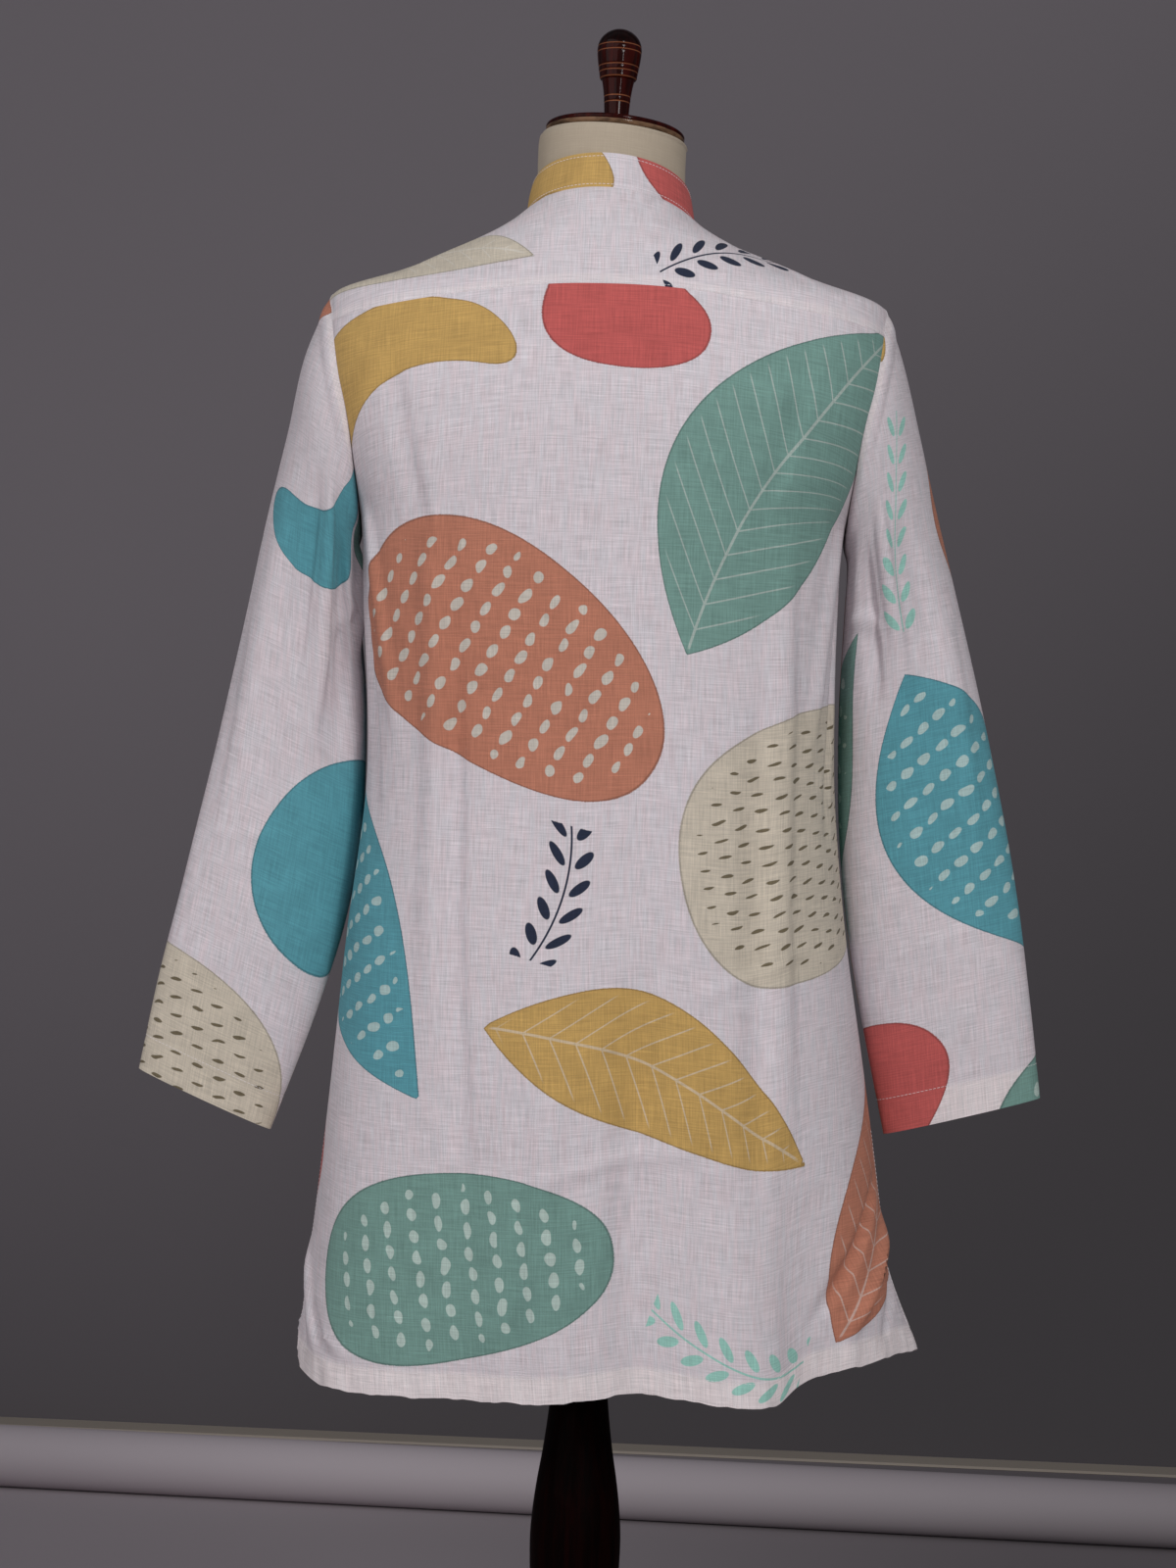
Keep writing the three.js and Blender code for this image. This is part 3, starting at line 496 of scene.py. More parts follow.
# Each wave's length, and how much it counts
RUMPLE_WAVES = ((0.19, 1.0), (0.11, 0.6), (0.065, 0.35), (0.038, 0.2))
RUMPLE_TURN = 0.55
RUMPLE_DRAWS = 4
RUMPLE_SEEDS = {
    "kurta_back": 11,
    "kurta_front": 12,
    "kurta_yoke": 13,
    "kurta_sleeve_left": 14,
    "kurta_sleeve_right": 15,
}


def crease_reach(across, along, rows):
    """How far points at flat places are moved out by creases, below 0 in a trough.

    Each crease is a soft stroke between two places, bow bends it, and one flank is steeper.
    """
    height = np.zeros(across.shape)
    for from_u, from_v, to_u, to_v, width, depth, bow in rows_of(rows):
        line_u, line_v = to_u - from_u, to_v - from_v
        length = math.hypot(line_u, line_v)
        u, v = across - from_u, along - from_v
        share = (u * line_u + v * line_v) / length**2
        side = (v * line_u - u * line_v) / length
        side = side - bow * (1 - (2 * share - 1) ** 2)
        taper = ease(share / CREASE_ENDS[0]) * ease((1 - share) / CREASE_ENDS[1])
        spread = width * np.where(side > 0, *CREASE_FLANKS)
        height += depth * hump(side, spread) * taper
    return height


def rumple(cloth, depth):
    """Faint uneven waves all over a cloth."""
    draw = np.random.default_rng(RUMPLE_SEEDS[cloth.name])
    height = np.zeros(cloth.across.shape)
    for wavelength, share in RUMPLE_WAVES:
        for _ in range(RUMPLE_DRAWS):
            turn = draw.normal(0, RUMPLE_TURN)
            phase = draw.uniform(0, 2 * math.pi)
            wave = (cloth.across * math.cos(turn) + cloth.along * math.sin(turn) * 0.7) / wavelength
            height += share * np.sin(2 * math.pi * wave + phase)
    return height * depth / RUMPLE_DRAWS


# Printed motifs, laid out on the cloth before it was cut

INKS = {
    "sage": (0.172, 0.312, 0.272),
    "terracotta": (0.490, 0.190, 0.118),
    "coral": (0.520, 0.100, 0.092),
    "mustard": (0.545, 0.340, 0.105),
    "teal": (0.095, 0.325, 0.385),
    "cream": (0.600, 0.530, 0.430),
    "mint": (0.320, 0.600, 0.520),
    "navy": (0.010, 0.018, 0.045),
}
# How a motif is filled, kept in its ink's fourth number
STYLES = {"plain": 0.0, "veins": 0.25, "dots": 0.5, "dashes": 0.75, "sprig": 1.0}
TILE_WIDTH = 0.86
TILE_HEIGHT = 0.98
# Each motif: its form, ink, style, middle, turn in degrees, length, width and how far it bends
MOTIFS = (
    ("leaf", "sage", "veins", 0.155, 0.705, 58, 0.340, 0.150, 0.022),
    ("bean", "mustard", "plain", -0.165, 0.760, 18, 0.215, 0.064, 0.052),
    ("pebble", "terracotta", "dots", -0.080, 0.545, -32, 0.280, 0.165, 0.012),
    ("sprig", "mint", "sprig", -0.262, 0.585, 84, 0.168, 0.052, 0.014),
    ("pebble", "cream", "dashes", 0.210, 0.420, 12, 0.300, 0.205, 0.000),
    ("leaf", "teal", "dots", -0.205, 0.345, -62, 0.280, 0.135, -0.018),
    ("leaf", "mustard", "veins", 0.040, 0.222, -24, 0.280, 0.102, 0.024),
    ("pebble", "coral", "plain", -0.335, 0.130, 40, 0.175, 0.120, 0.010),
    ("pebble", "sage", "dots", -0.108, 0.092, 8, 0.245, 0.138, 0.008),
    ("leaf", "terracotta", "veins", 0.250, 0.140, 68, 0.255, 0.112, -0.020),
    ("sprig", "navy", "sprig", -0.036, 0.380, 74, 0.105, 0.042, -0.010),
    ("pebble", "coral", "plain", 0.014, 0.818, -12, 0.130, 0.082, 0.000),
    ("pebble", "teal", "plain", 0.372, 0.632, 70, 0.180, 0.110, 0.012),
    ("sprig", "mint", "sprig", 0.108, 0.040, 160, 0.140, 0.052, 0.012),
    ("bean", "terracotta", "plain", -0.350, 0.855, -50, 0.180, 0.058, 0.040),
    ("leaf", "sage", "dots", -0.358, 0.400, 75, 0.230, 0.105, 0.016),
    ("bean", "teal", "plain", 0.350, 0.908, 26, 0.180, 0.054, -0.040),
    ("leaf", "cream", "veins", -0.178, 0.910, -8, 0.235, 0.095, 0.018),
    ("pebble", "mustard", "dots", 0.402, 0.286, -25, 0.190, 0.125, 0.000),
    ("sprig", "navy", "sprig", 0.110, 0.905, 20, 0.147, 0.042, 0.010),
)
# Where each piece was cut from the printed cloth, and its turn in degrees
CUTS = {
    "kurta_back": (0.000, 0.000, 0),
    "kurta_front": (0.430, 0.300, 0),
    "kurta_yoke": (0.000, 0.846, 0),
    "kurta_sleeve_left": (0.230, 0.420, 0),
    "kurta_sleeve_right": (-0.180, 0.120, 0),
    "kurta_collar": (-0.070, 0.786, 0),
    "kurta_placket": (0.420, 1.060, 0),
}


def motif_reach(form, along, across, length, width):
    """About how far a place in a motif's own lengths is outside the motif's edge."""
    x = 2 * along / length
    if form == "leaf":
        half = width / 2 * (1 - x * x) * (1 - 0.30 * np.clip(x, -1, 1))
        return (np.abs(across) - half) * 0.88
    if form == "pebble":
        y = 2 * across / width * (1 + 0.16 * x)
        rim = (np.abs(x) ** 2.25 + np.abs(y) ** 2.25) ** (1 / 2.25)
        return (rim - 1) * min(length, width) / 2
    if form == "bean":
        past = np.maximum(np.abs(along) - (length - width) / 2, 0)
        return np.hypot(past, across) - width / 2 * (1 - 0.18 * x)
    return np.maximum(np.abs(across) - width / 2, np.abs(along) - length / 2)


def printed(name, u, v):
    """The nearest motif at flat places of a piece: how far outside it, the place in it, its ink."""
    cut_u, cut_v, degrees = CUTS[name]
    turn = math.radians(degrees)
    cloth_u = cut_u + u * math.cos(turn) - v * math.sin(turn)
    cloth_v = cut_v + u * math.sin(turn) + v * math.cos(turn)
    reach = np.full(u.shape, 1.0)
    place_along = np.zeros(u.shape)
    place_across = np.zeros(u.shape)
    ink = np.zeros((len(u), 4))
    for form, colour, style, at_u, at_v, degrees, length, width, bend in MOTIFS:
        # Every second tile across is set half a tile lower
        column = np.round((cloth_u - at_u) / TILE_WIDTH)
        drop = np.mod(column, 2) * TILE_HEIGHT / 2
        du = cloth_u - at_u - column * TILE_WIDTH
        dv = cloth_v - at_v + drop
        dv = dv - np.round(dv / TILE_HEIGHT) * TILE_HEIGHT
        angle = math.radians(degrees)
        along = du * math.cos(angle) + dv * math.sin(angle)
        across = -du * math.sin(angle) + dv * math.cos(angle)
        across = across - bend * (1 - np.clip(2 * along / length, -1.2, 1.2) ** 2)
        outside = motif_reach(form, along, across, length, width)
        nearer = outside < reach
        reach = np.where(nearer, outside, reach)
        place_along = np.where(nearer, along, place_along)
        place_across = np.where(nearer, across, place_across)
        ink[nearer] = (*INKS[colour], STYLES[style])
    return reach, place_along, place_across, ink


# Stitches


STITCH_LENGTH = 0.0023
STITCH_WIDTH = 0.00042


def stitch_row(points, normals, pitch):
    """Small rounded stitches along a line of points on a surface, as corners and faces."""
    steps = np.linalg.norm(np.diff(points, axis=0), axis=1)
    lengths = np.concatenate([[0], np.cumsum(steps)])
    count = max(1, int(lengths[-1] / pitch))
    middles = (np.arange(count) + 0.5) * lengths[-1] / count

    def at(values, where):
        return np.stack([np.interp(where, lengths, values[:, k]) for k in range(3)], 1)

    start = at(points, middles - STITCH_LENGTH / 2)
    end = at(points, middles + STITCH_LENGTH / 2)
    normal = unit(at(normals, middles))
    side = unit(np.cross(normal, unit(end - start)))
    verts, faces = [], []
    for k in range(count):
        base = len(verts)
        middle = (start[k] + end[k]) / 2
        # Each stitch is a bar of three square rings, fuller and higher at its middle
        for place, size, lift in ((start[k], 0.33, 0.11), (middle, 0.6, 0.55), (end[k], 0.33, 0.11)):
            for step in range(4):
                turn = math.pi / 4 + step * math.pi / 2
                out = side[k] * math.cos(turn) + normal[k] * math.sin(turn)
                verts.append(place + (normal[k] * lift + out * size) * STITCH_WIDTH)
        for ring in (0, 4):
            for step in range(4):
                a, b = base + ring + step, base + ring + (step + 1) % 4
                faces.append((a, b, b + 4, a + 4))
        faces.append((base + 3, base + 2, base + 1, base))
        faces.append((base + 8, base + 9, base + 10, base + 11))
    return verts, faces


def stitch_piece(name, rows):
    """All of a piece's stitch lines as one mesh."""
    verts, faces = [], []
    for points, normals in rows:
        new_verts, new_faces = stitch_row(points, normals, settings().stitch_pitch)
        base = len(verts)
        verts += new_verts
        faces += [tuple(base + i for i in face) for face in new_faces]
    mesh = bpy.data.meshes.new(name)
    mesh.from_pydata([tuple(v) for v in verts], [], faces)
    # Every face of the closed shapes is turned outwards
    work = bmesh.new()
    work.from_mesh(mesh)
    bmesh.ops.recalc_face_normals(work, faces=work.faces)
    work.to_mesh(mesh)
    work.free()
    return placed(mesh)


def level_line(cloth, distance, side):
    """The line on a cloth at a distance from one of its edges, with its normals."""
    grids = [cloth.edge(side), cloth.points, cloth.normals()]
    if side in ("bottom", "top"):
        grids = [np.swapaxes(grid, 0, 1) for grid in grids]
    points, directions = [], []
    for away, places, normals in zip(*grids):
        order = np.argsort(away)
        for found, values in ((points, places), (directions, normals)):
            found.append([np.interp(distance, away[order], values[order, k]) for k in range(3)])
    return np.array(points), np.array(directions)


# Back and front

BACK_COLUMNS = 170
FRONT_COLUMNS = 150
SKIRT_ROWS = 150
BACK_CHEST_ROWS = 56
FRONT_CHEST_ROWS = 76
FRONT_MEAN_WIDTH = 0.50
SEAM_DIP = 0.0004
SEAM_DIP_WIDTH = 0.004
LAP = 0.0004
PANEL_TUCK = 0.0015
ALLOWANCE = 0.008
STITCH_DIP = 0.00035
HEM_STITCH_SPREAD = 0.004
BODY_RUMPLE = 0.0007
# How far the back's free corner on the wearer's right kicks out, and from how far off
CORNER_KICK = (-0.010, 0.004, -0.002)
CORNER_WIDTH = 0.045
CORNER_HEIGHT = 0.085
# The hem's pucker along its stitches, as each wave's length and height
PUCKER_WAVES = ((0.047, 0.0005), (0.029, 0.0004), (0.017, 0.0003), (0.011, 0.0002))
PUCKER_SEED = 5
PUCKER_HEIGHT = 0.040

PANEL_CREASES = {
    "back": table(
        CREASE_COLUMNS,
        (-0.133, 0.780, -0.128, 0.180, 0.016, 0.0053, 0.003),
        (-0.112, 0.640, -0.098, 0.060, 0.014, -0.0047, -0.004),
        (0.148, 0.700, 0.152, 0.120, 0.018, 0.0053, -0.004),
        (0.118, 0.560, 0.124, 0.080, 0.016, -0.0040, 0.003),
        (0.025, 0.330, 0.020, 0.010, 0.020, -0.0047, 0.004),
        (-0.030, 0.260, -0.045, 0.010, 0.018, 0.0040, -0.004),
        (-0.215, 0.700, -0.165, 0.470, 0.012, 0.0047, 0.006),
        (-0.228, 0.650, -0.190, 0.420, 0.010, -0.0047, 0.004),
        (0.225, 0.690, 0.170, 0.450, 0.012, 0.0043, -0.006),
        (0.236, 0.640, 0.198, 0.380, 0.010, -0.0047, -0.004),
        (-0.170, 0.835, -0.120, 0.600, 0.013, -0.0028, -0.006),
        (0.160, 0.830, 0.110, 0.640, 0.014, -0.0025, 0.006),
        (0.285, 0.115, 0.205, 0.015, 0.009, 0.0074, 0.004),
        (0.268, 0.150, 0.170, 0.030, 0.010, -0.0072, 0.004),
        (0.290, 0.070, 0.245, 0.005, 0.007, -0.0034, 0.002),
        (-0.080, 0.155, 0.090, 0.185, 0.009, 0.0019, 0.006),
        (0.060, 0.300, 0.190, 0.335, 0.008, 0.0017, 0.004),
        (-0.285, 0.100, -0.240, 0.010, 0.012, 0.0040, 0.003),
        (-0.296, 0.062, -0.258, 0.006, 0.006, -0.0036, 0.002),
        (-0.300, 0.034, -0.276, 0.002, 0.005, 0.0030, 0.001),
        (-0.262, 0.064, -0.206, 0.014, 0.008, -0.0030, -0.003),
        (-0.240, 0.040, -0.188, 0.020, 0.005, 0.0022, 0.002),
    ),
    "front": table(
        CREASE_COLUMNS,
        (-0.140, 0.740, -0.136, 0.140, 0.017, 0.0053, -0.004),
        (-0.100, 0.600, -0.112, 0.080, 0.015, -0.0043, 0.003),
        (0.138, 0.720, 0.142, 0.110, 0.017, 0.0050, 0.004),
        (0.104, 0.560, 0.100, 0.060, 0.014, -0.0040, -0.004),
        (0.010, 0.380, 0.018, 0.010, 0.020, -0.0043, 0.005),
        (-0.220, 0.690, -0.170, 0.450, 0.012, 0.0043, 0.005),
        (-0.234, 0.640, -0.196, 0.380, 0.010, -0.0043, 0.004),
        (0.222, 0.700, 0.168, 0.470, 0.012, 0.0043, -0.006),
        (0.236, 0.640, 0.196, 0.400, 0.010, -0.0040, -0.004),
        (0.270, 0.130, 0.210, 0.015, 0.011, 0.0040, 0.004),
        (-0.275, 0.120, -0.225, 0.010, 0.011, 0.0040, -0.003),
    ),
}


def seam_dip(distance):
    """How far cloth dips towards a seam."""
    return SEAM_DIP * np.clip(1 - distance / SEAM_DIP_WIDTH, 0, 1) ** 2


def panel(side):
    """The back or the front as cloth, on its solid's surface."""
    if side == "back":
        shares = np.linspace(0, 1, BACK_COLUMNS + 1)
        rows = panel_rows(side, 0, SKIRT_ROWS, BACK_CHEST_ROWS, shares)
    else:
        slit = PLACKET_SLIT / 2 / FRONT_MEAN_WIDTH
        half = np.linspace(0, 0.5 - slit, FRONT_COLUMNS // 2 + 1)
        shares = np.concatenate([half, 1 - half[::-1]])
        rows = panel_rows(side, math.pi, SKIRT_ROWS, FRONT_CHEST_ROWS, shares)
    angles, levels, lengths = (np.array(column) for column in zip(*rows))
    points = body_point(side, angles, levels)
    points[..., 1] += SEAM_GAP / 2 if side == "back" else -SEAM_GAP / 2
    middle = points[:, points.shape[1] // 2]
    along = np.concatenate([[0], np.cumsum(np.linalg.norm(np.diff(middle, axis=0), axis=1))])
    across = (shares[None, :] - 0.5) * lengths[:, None]
    cloth = Cloth(f"kurta_{side}", points, across, np.repeat(along[:, None], len(shares), 1))
    sides = np.minimum(cloth.edge("start"), cloth.edge("end"))
    # Seams hold the rumple back further than the creases
    held = ease(sides / 0.03) * ease(cloth.edge("top") / 0.05)
    if side == "back":
        kick = ease(1 - cloth.edge("end") / CORNER_WIDTH) * ease(1 - cloth.edge("bottom") / CORNER_HEIGHT)
        cloth.points = cloth.points + kick[..., None] * np.array(CORNER_KICK)
    height = crease_reach(cloth.across, cloth.along, PANEL_CREASES[side])
    height *= ease(sides / 0.012) * ease(cloth.edge("top") / 0.03)
    height += rumple(cloth, BODY_RUMPLE) * held
    cloth.raise_by(height)
    finish_panel(cloth)
    return cloth


def finish_panel(cloth):
    """Hems, slit hems and the dips of the seams, on a back or front."""
    bottom = cloth.edge("bottom")
    sides = np.minimum(cloth.edge("start"), cloth.edge("end"))
    level = cloth.along - cloth.along[0]
    in_slit = level < SLIT_HEIGHT + SLIT_HEM
    turned = (bottom < BODY_HEM) | (in_slit & (sides < SLIT_HEM))
    cloth.thickness = np.where(turned, HEM_LINEN, LINEN)
    cloth.doubled = turned.astype(float)
    dip = seam_dip(np.where(in_slit, 1.0, sides))
    dip += STITCH_DIP * hump(bottom - BODY_HEM, HEM_STITCH_SPREAD)
    dip += STITCH_DIP * hump(sides - SLIT_HEM, HEM_STITCH_SPREAD) * in_slit
    pucker = np.zeros(cloth.across.shape)
    draw = np.random.default_rng(PUCKER_SEED)
    for wavelength, share in PUCKER_WAVES:
        pucker += share * np.sin(2 * math.pi * cloth.across / wavelength + draw.uniform(0, 6.28))
    cloth.raise_by(pucker * ease(1 - bottom / PUCKER_HEIGHT) - dip)
    # The hem's edge is never quite straight
    cloth.points[..., 2] += 0.9 * pucker * ease(1 - bottom / 0.012)
    cloth.tuck(-1, LAP, PANEL_TUCK)


def panel_stitches(cloth):
    """The hem's and the slits' stitch lines, as points and normals."""
    rows = [level_line(cloth, BODY_HEM, "bottom")]
    level = cloth.along[:, 0]
    high = level < SLIT_HEIGHT + SLIT_HEM
    low = level > BODY_HEM
    for side in ("start", "end"):
        points, normals = level_line(cloth, SLIT_HEM, side)
        rows.append((points[high & low], normals[high & low]))
    return rows


# Yoke

YOKE_ROWS = 60
YOKE_STEPS_PER_CELL = 6
YOKE_BACK_CELLS = 30
BACK_SEAM_SAMPLES = 180
# The line that the yoke lies round, its spread to the sides, and where its flat length starts
YOKE_CORE_Y = -0.005
YOKE_CORE_Z = 1.33
YOKE_SPREAD = 1.08
YOKE_START_TURN = 1.2
YOKE_RUMPLE = 0.0003
YOKE_DOUBLED = 0.45
YOKE_EDGE_LINEN = 0.0003
YOKE_STITCH = 0.0016
YOKE_CREASES = table(
    CREASE_COLUMNS,
    (-0.185, 0.030, -0.090, 0.120, 0.010, 0.0012, 0.004),
    (0.185, 0.030, 0.085, 0.120, 0.010, 0.0012, -0.004),
    (-0.060, 0.070, 0.070, 0.075, 0.010, -0.0007, 0.004),
)


def yoke():
    """The yoke over both shoulders, as spokes from its outer edge up to the neckline."""
    arm_cells = FRONT_YOKE_STEP - BACK_YOKE_STEP
    back_cells = YOKE_BACK_CELLS
    cells = np.arange((2 * arm_cells + back_cells) * YOKE_STEPS_PER_CELL + 1) / YOKE_STEPS_PER_CELL
    seam_angles, seam_levels = back_seam()
    angles, levels = np.empty_like(cells), np.empty_like(cells)
    left = cells <= arm_cells
    right = cells >= arm_cells + back_cells
    angles[left], levels[left] = armhole_place(FRONT_YOKE_STEP - cells[left])
    angle, level = armhole_place(BACK_YOKE_STEP + cells[right] - arm_cells - back_cells)
    angles[right], levels[right] = math.pi - angle, level
    between = ~left & ~right
    share = (cells[between] - arm_cells) / back_cells
    places = np.linspace(0, 1, len(seam_angles))
    angles[between] = np.interp(share, places, seam_angles)
    levels[between] = np.interp(share, places, seam_levels)
    neck = mix(YOKE_NECK_ANGLE, math.pi - YOKE_NECK_ANGLE, cells / cells[-1])
    shares = np.linspace(0, 1, YOKE_ROWS + 1)
    lines = [shoulder_line(a, l, n, shares) for a, l, n in zip(angles, levels, neck)]
    grid_angles = np.array([line[0] for line in lines]).T
    grid_levels = np.array([line[1] for line in lines]).T
    points = body_point("yoke", grid_angles, grid_levels)
    back, up = points[..., 1] - YOKE_CORE_Y, points[..., 2] - YOKE_CORE_Z
    along = (YOKE_START_TURN - np.arctan2(back, up)) * np.hypot(back, up)
    cloth = Cloth("kurta_yoke", points, -points[..., 0] * YOKE_SPREAD, along)
    edge = np.minimum(cloth.edge("bottom"), cloth.edge("top"))
    sides = np.minimum(cloth.edge("start"), cloth.edge("end"))
    height = crease_reach(cloth.across, cloth.along, YOKE_CREASES) + rumple(cloth, YOKE_RUMPLE)
    cloth.raise_by(height * ease(np.minimum(edge, sides) / 0.015))
    # The turnings lie under the yoke's own edge, so a band above the seam is doubled and stands proud
    band = cloth.edge("bottom")
    cloth.doubled = np.where(band < ALLOWANCE, YOKE_DOUBLED, 0.0)
    cloth.thickness = mix(YOKE_EDGE_LINEN, LINEN, ease(band / 0.006))
    cloth.raise_by(-seam_dip(sides))
    cloth.tuck(-1, LAP, 0.0003)
    return cloth


def back_seam():
    """The angles and levels along the seam of the back and the yoke."""
    angle, level = armhole_place(BACK_YOKE_STEP)
    levels = mix(level, BACK_YOKE_MIDDLE, arch(LINE))
    shares = np.linspace(0, 1, BACK_SEAM_SAMPLES + 1)
    return spaced_row("back", mix(angle, math.pi - angle, LINE), levels, shares)[:2]


# Sleeves

SLEEVE_TURNS = 150
SLEEVE_ROWS = 190
# Creases across a sleeve are placed as if it were this wide all the way down, from its outside
CREASE_GIRTH = 0.400
UNDERARM_TURN = math.radians(270)
SLEEVE_RUMPLE = 0.0006
SLEEVE_DOUBLED = 0.7
# How the head of the sleeve, which is eased in, stands proud just below its seam
HEAD_RISE = 0.0016
HEAD_PLACE = 0.012
SLEEVE_CREASES = {
    "left": table(
        CREASE_COLUMNS,
        (0.118, 0.590, 0.122, 0.270, 0.012, 0.0066, 0.002),
        (0.094, 0.560, 0.096, 0.300, 0.013, -0.0044, 0.002),
        (0.146, 0.560, 0.150, 0.300, 0.012, -0.0058, 0.002),
        (0.060, 0.500, 0.052, 0.120, 0.020, 0.0026, 0.004),
        (0.170, 0.500, 0.128, 0.400, 0.010, 0.0032, 0.003),
        (0.020, 0.420, 0.030, 0.150, 0.020, -0.0022, 0.003),
        (-0.118, 0.560, -0.122, 0.250, 0.014, 0.0048, -0.003),
        (-0.090, 0.500, -0.094, 0.180, 0.014, -0.0038, 0.004),
        (-0.150, 0.540, -0.146, 0.320, 0.011, -0.0040, 0.003),
        (0.190, 0.605, 0.172, 0.410, 0.012, 0.0066, 0.002),
        (0.218, 0.565, 0.200, 0.370, 0.010, -0.0058, 0.002),
        (0.040, 0.190, 0.120, 0.205, 0.010, 0.0012, 0.004),
    ),
    "right": table(
        CREASE_COLUMNS,
        (-0.116, 0.590, -0.100, 0.330, 0.012, 0.0056, 0.003),
        (-0.142, 0.570, -0.130, 0.330, 0.012, -0.0056, 0.003),
        (-0.090, 0.520, -0.066, 0.360, 0.013, -0.0036, 0.004),
        (-0.170, 0.500, -0.120, 0.420, 0.010, 0.0038, 0.004),
        (-0.050, 0.430, -0.060, 0.130, 0.020, 0.0026, 0.004),
        (0.118, 0.560, 0.120, 0.260, 0.014, 0.0046, -0.003),
        (0.090, 0.500, 0.094, 0.180, 0.014, -0.0036, 0.004),
        (-0.150, 0.130, -0.040, 0.142, 0.009, 0.0011, 0.003),
    ),
}


def catmull(p0, p1, p2, p3, t):
    """A point between p1 and p2 on a smooth curve through four points, paced by root distance."""

    def pace(a, b):
        return np.maximum(np.sum((a - b) ** 2, axis=-1, keepdims=True) ** 0.25, 1e-6)

    d0, d1, d2 = pace(p0, p1), pace(p1, p2), pace(p2, p3)
    leave = ((p1 - p0) / d0 - (p2 - p0) / (d0 + d1) + (p2 - p1) / d1) * d1
    arrive = ((p2 - p1) / d1 - (p3 - p1) / (d1 + d2) + (p3 - p2) / d2) * d1
    cubic = 2 * p1 - 2 * p2 + leave + arrive
    square = -3 * p1 + 3 * p2 - 2 * leave - arrive
    return p1 + leave * t + square * t**2 + cubic * t**3


def sleeve_stations(side, turns):
    """The armhole's ring and each station's ring, on the wearer's left, at the same turns."""
    angle, level = armhole_place(turns / (2 * math.pi) * ARMHOLE_STEPS)
    rings = [body_point("yoke", angle, level)]
    rows, folds = SLEEVES[side], SLEEVE_FOLDS[side]
    across, back = np.sin(turns), np.cos(turns)
    reach = (np.abs(across) ** SLEEVE_POWER + np.abs(back) ** SLEEVE_POWER) ** (-1 / SLEEVE_POWER)
    for i in range(len(rows["mid_y"])):
        outer = np.array([rows["outer_x"][i], rows["mid_y"][i], rows["outer_z"][i]])
        inner = np.array([rows["inner_x"][i], rows["mid_y"][i], rows["inner_z"][i]])
        middle, half = (outer + inner) / 2, (outer - inner) / 2
        ring = middle + half * (across * reach)[:, None]
        ring[:, 1] += back * reach * rows["half_depth"][i]
        fold = np.zeros(len(turns))
        for at, spread, start, end, depth in rows_of(folds):
            away = degrees_past(np.degrees(turns), at)
            fold += depth * hump(away, spread) * hump(i + 1 - (start + end) / 2, (end - start) / 2)
        rings.append(ring - unit(middle - ring) * fold[:, None])
    return np.array(rings)


def sleeve(side):
    """A sleeve as a tube of cloth from the cuff up, its columns from the seam under the arm."""
    # Columns run to the right as seen from outside, which is against the turns on the left arm
    way = -1 if side == "left" else 1
    turns = UNDERARM_TURN + way * np.linspace(0, 2 * math.pi, SLEEVE_TURNS + 1)
    rings = sleeve_stations(side, np.mod(turns, 2 * math.pi))
    rings = np.concatenate([[2 * rings[0] - rings[1]], rings, [2 * rings[-1] - rings[-2]]])
    stations = len(rings) - 3
    grid = []
    for place in np.linspace(stations, 0, SLEEVE_ROWS + 1):
        low = min(int(place), stations - 1)
        grid.append(catmull(*rings[low : low + 4], place - low))
    points = np.array(grid)
    points[:, -1] = points[:, 0]
    if side == "right":
        points[..., 0] *= -1
    steps = np.linalg.norm(np.diff(points, axis=1), axis=-1)
    around = np.concatenate([np.zeros((len(points), 1)), np.cumsum(steps, axis=1)], axis=1)
    rises = np.linalg.norm(np.diff(points, axis=0), axis=-1)
    along = np.concatenate([np.zeros((1, SLEEVE_TURNS + 1)), np.cumsum(rises, axis=0)])
    girth = around[:, -1:]
    cloth = Cloth(f"kurta_sleeve_{side}", points, around - girth / 2, along, tube=True)
    seam = np.minimum(around, girth - around)
    outside = np.repeat(along[:, SLEEVE_TURNS // 2, None], SLEEVE_TURNS + 1, 1)
    places = (around / girth - 0.5) * CREASE_GIRTH
    top = cloth.edge("top")
    height = crease_reach(places, outside, SLEEVE_CREASES[side])
    height += rumple(cloth, SLEEVE_RUMPLE)
    height *= ease(seam / 0.02) * ease(top / 0.03) * ease(along / 0.05)
    height += HEAD_RISE * hump(top - HEAD_PLACE, HEAD_PLACE)
    cloth.raise_by(height)
    cloth.thickness = np.where(along < CUFF_HEM, HEM_LINEN, LINEN)
    cloth.doubled = np.maximum(along < CUFF_HEM, SLEEVE_DOUBLED * (top < ALLOWANCE))
    cloth.raise_by(-seam_dip(seam) - STITCH_DIP * hump(along - CUFF_HEM, HEM_STITCH_SPREAD))
    cloth.tuck(-1, LAP, 0.0006)
    return cloth


# Collar, placket and buttons

COLLAR_COLUMNS = 240
COLLAR_ROWS = 16
COLLAR_LINEN = 0.0019
COLLAR_BULGE = 0.0006
COLLAR_WAVE = 0.0004
COLLAR_STITCH = 0.0030
COLLAR_TUCK = 0.0008
EDGE_ROUND = 0.0007
EDGE_ROUND_WIDTH = 0.002


def round_off(distance):
    """How far a thick edge is rounded down, from its distance."""
    return EDGE_ROUND * np.clip(1 - distance / EDGE_ROUND_WIDTH, 0, 1) ** 2


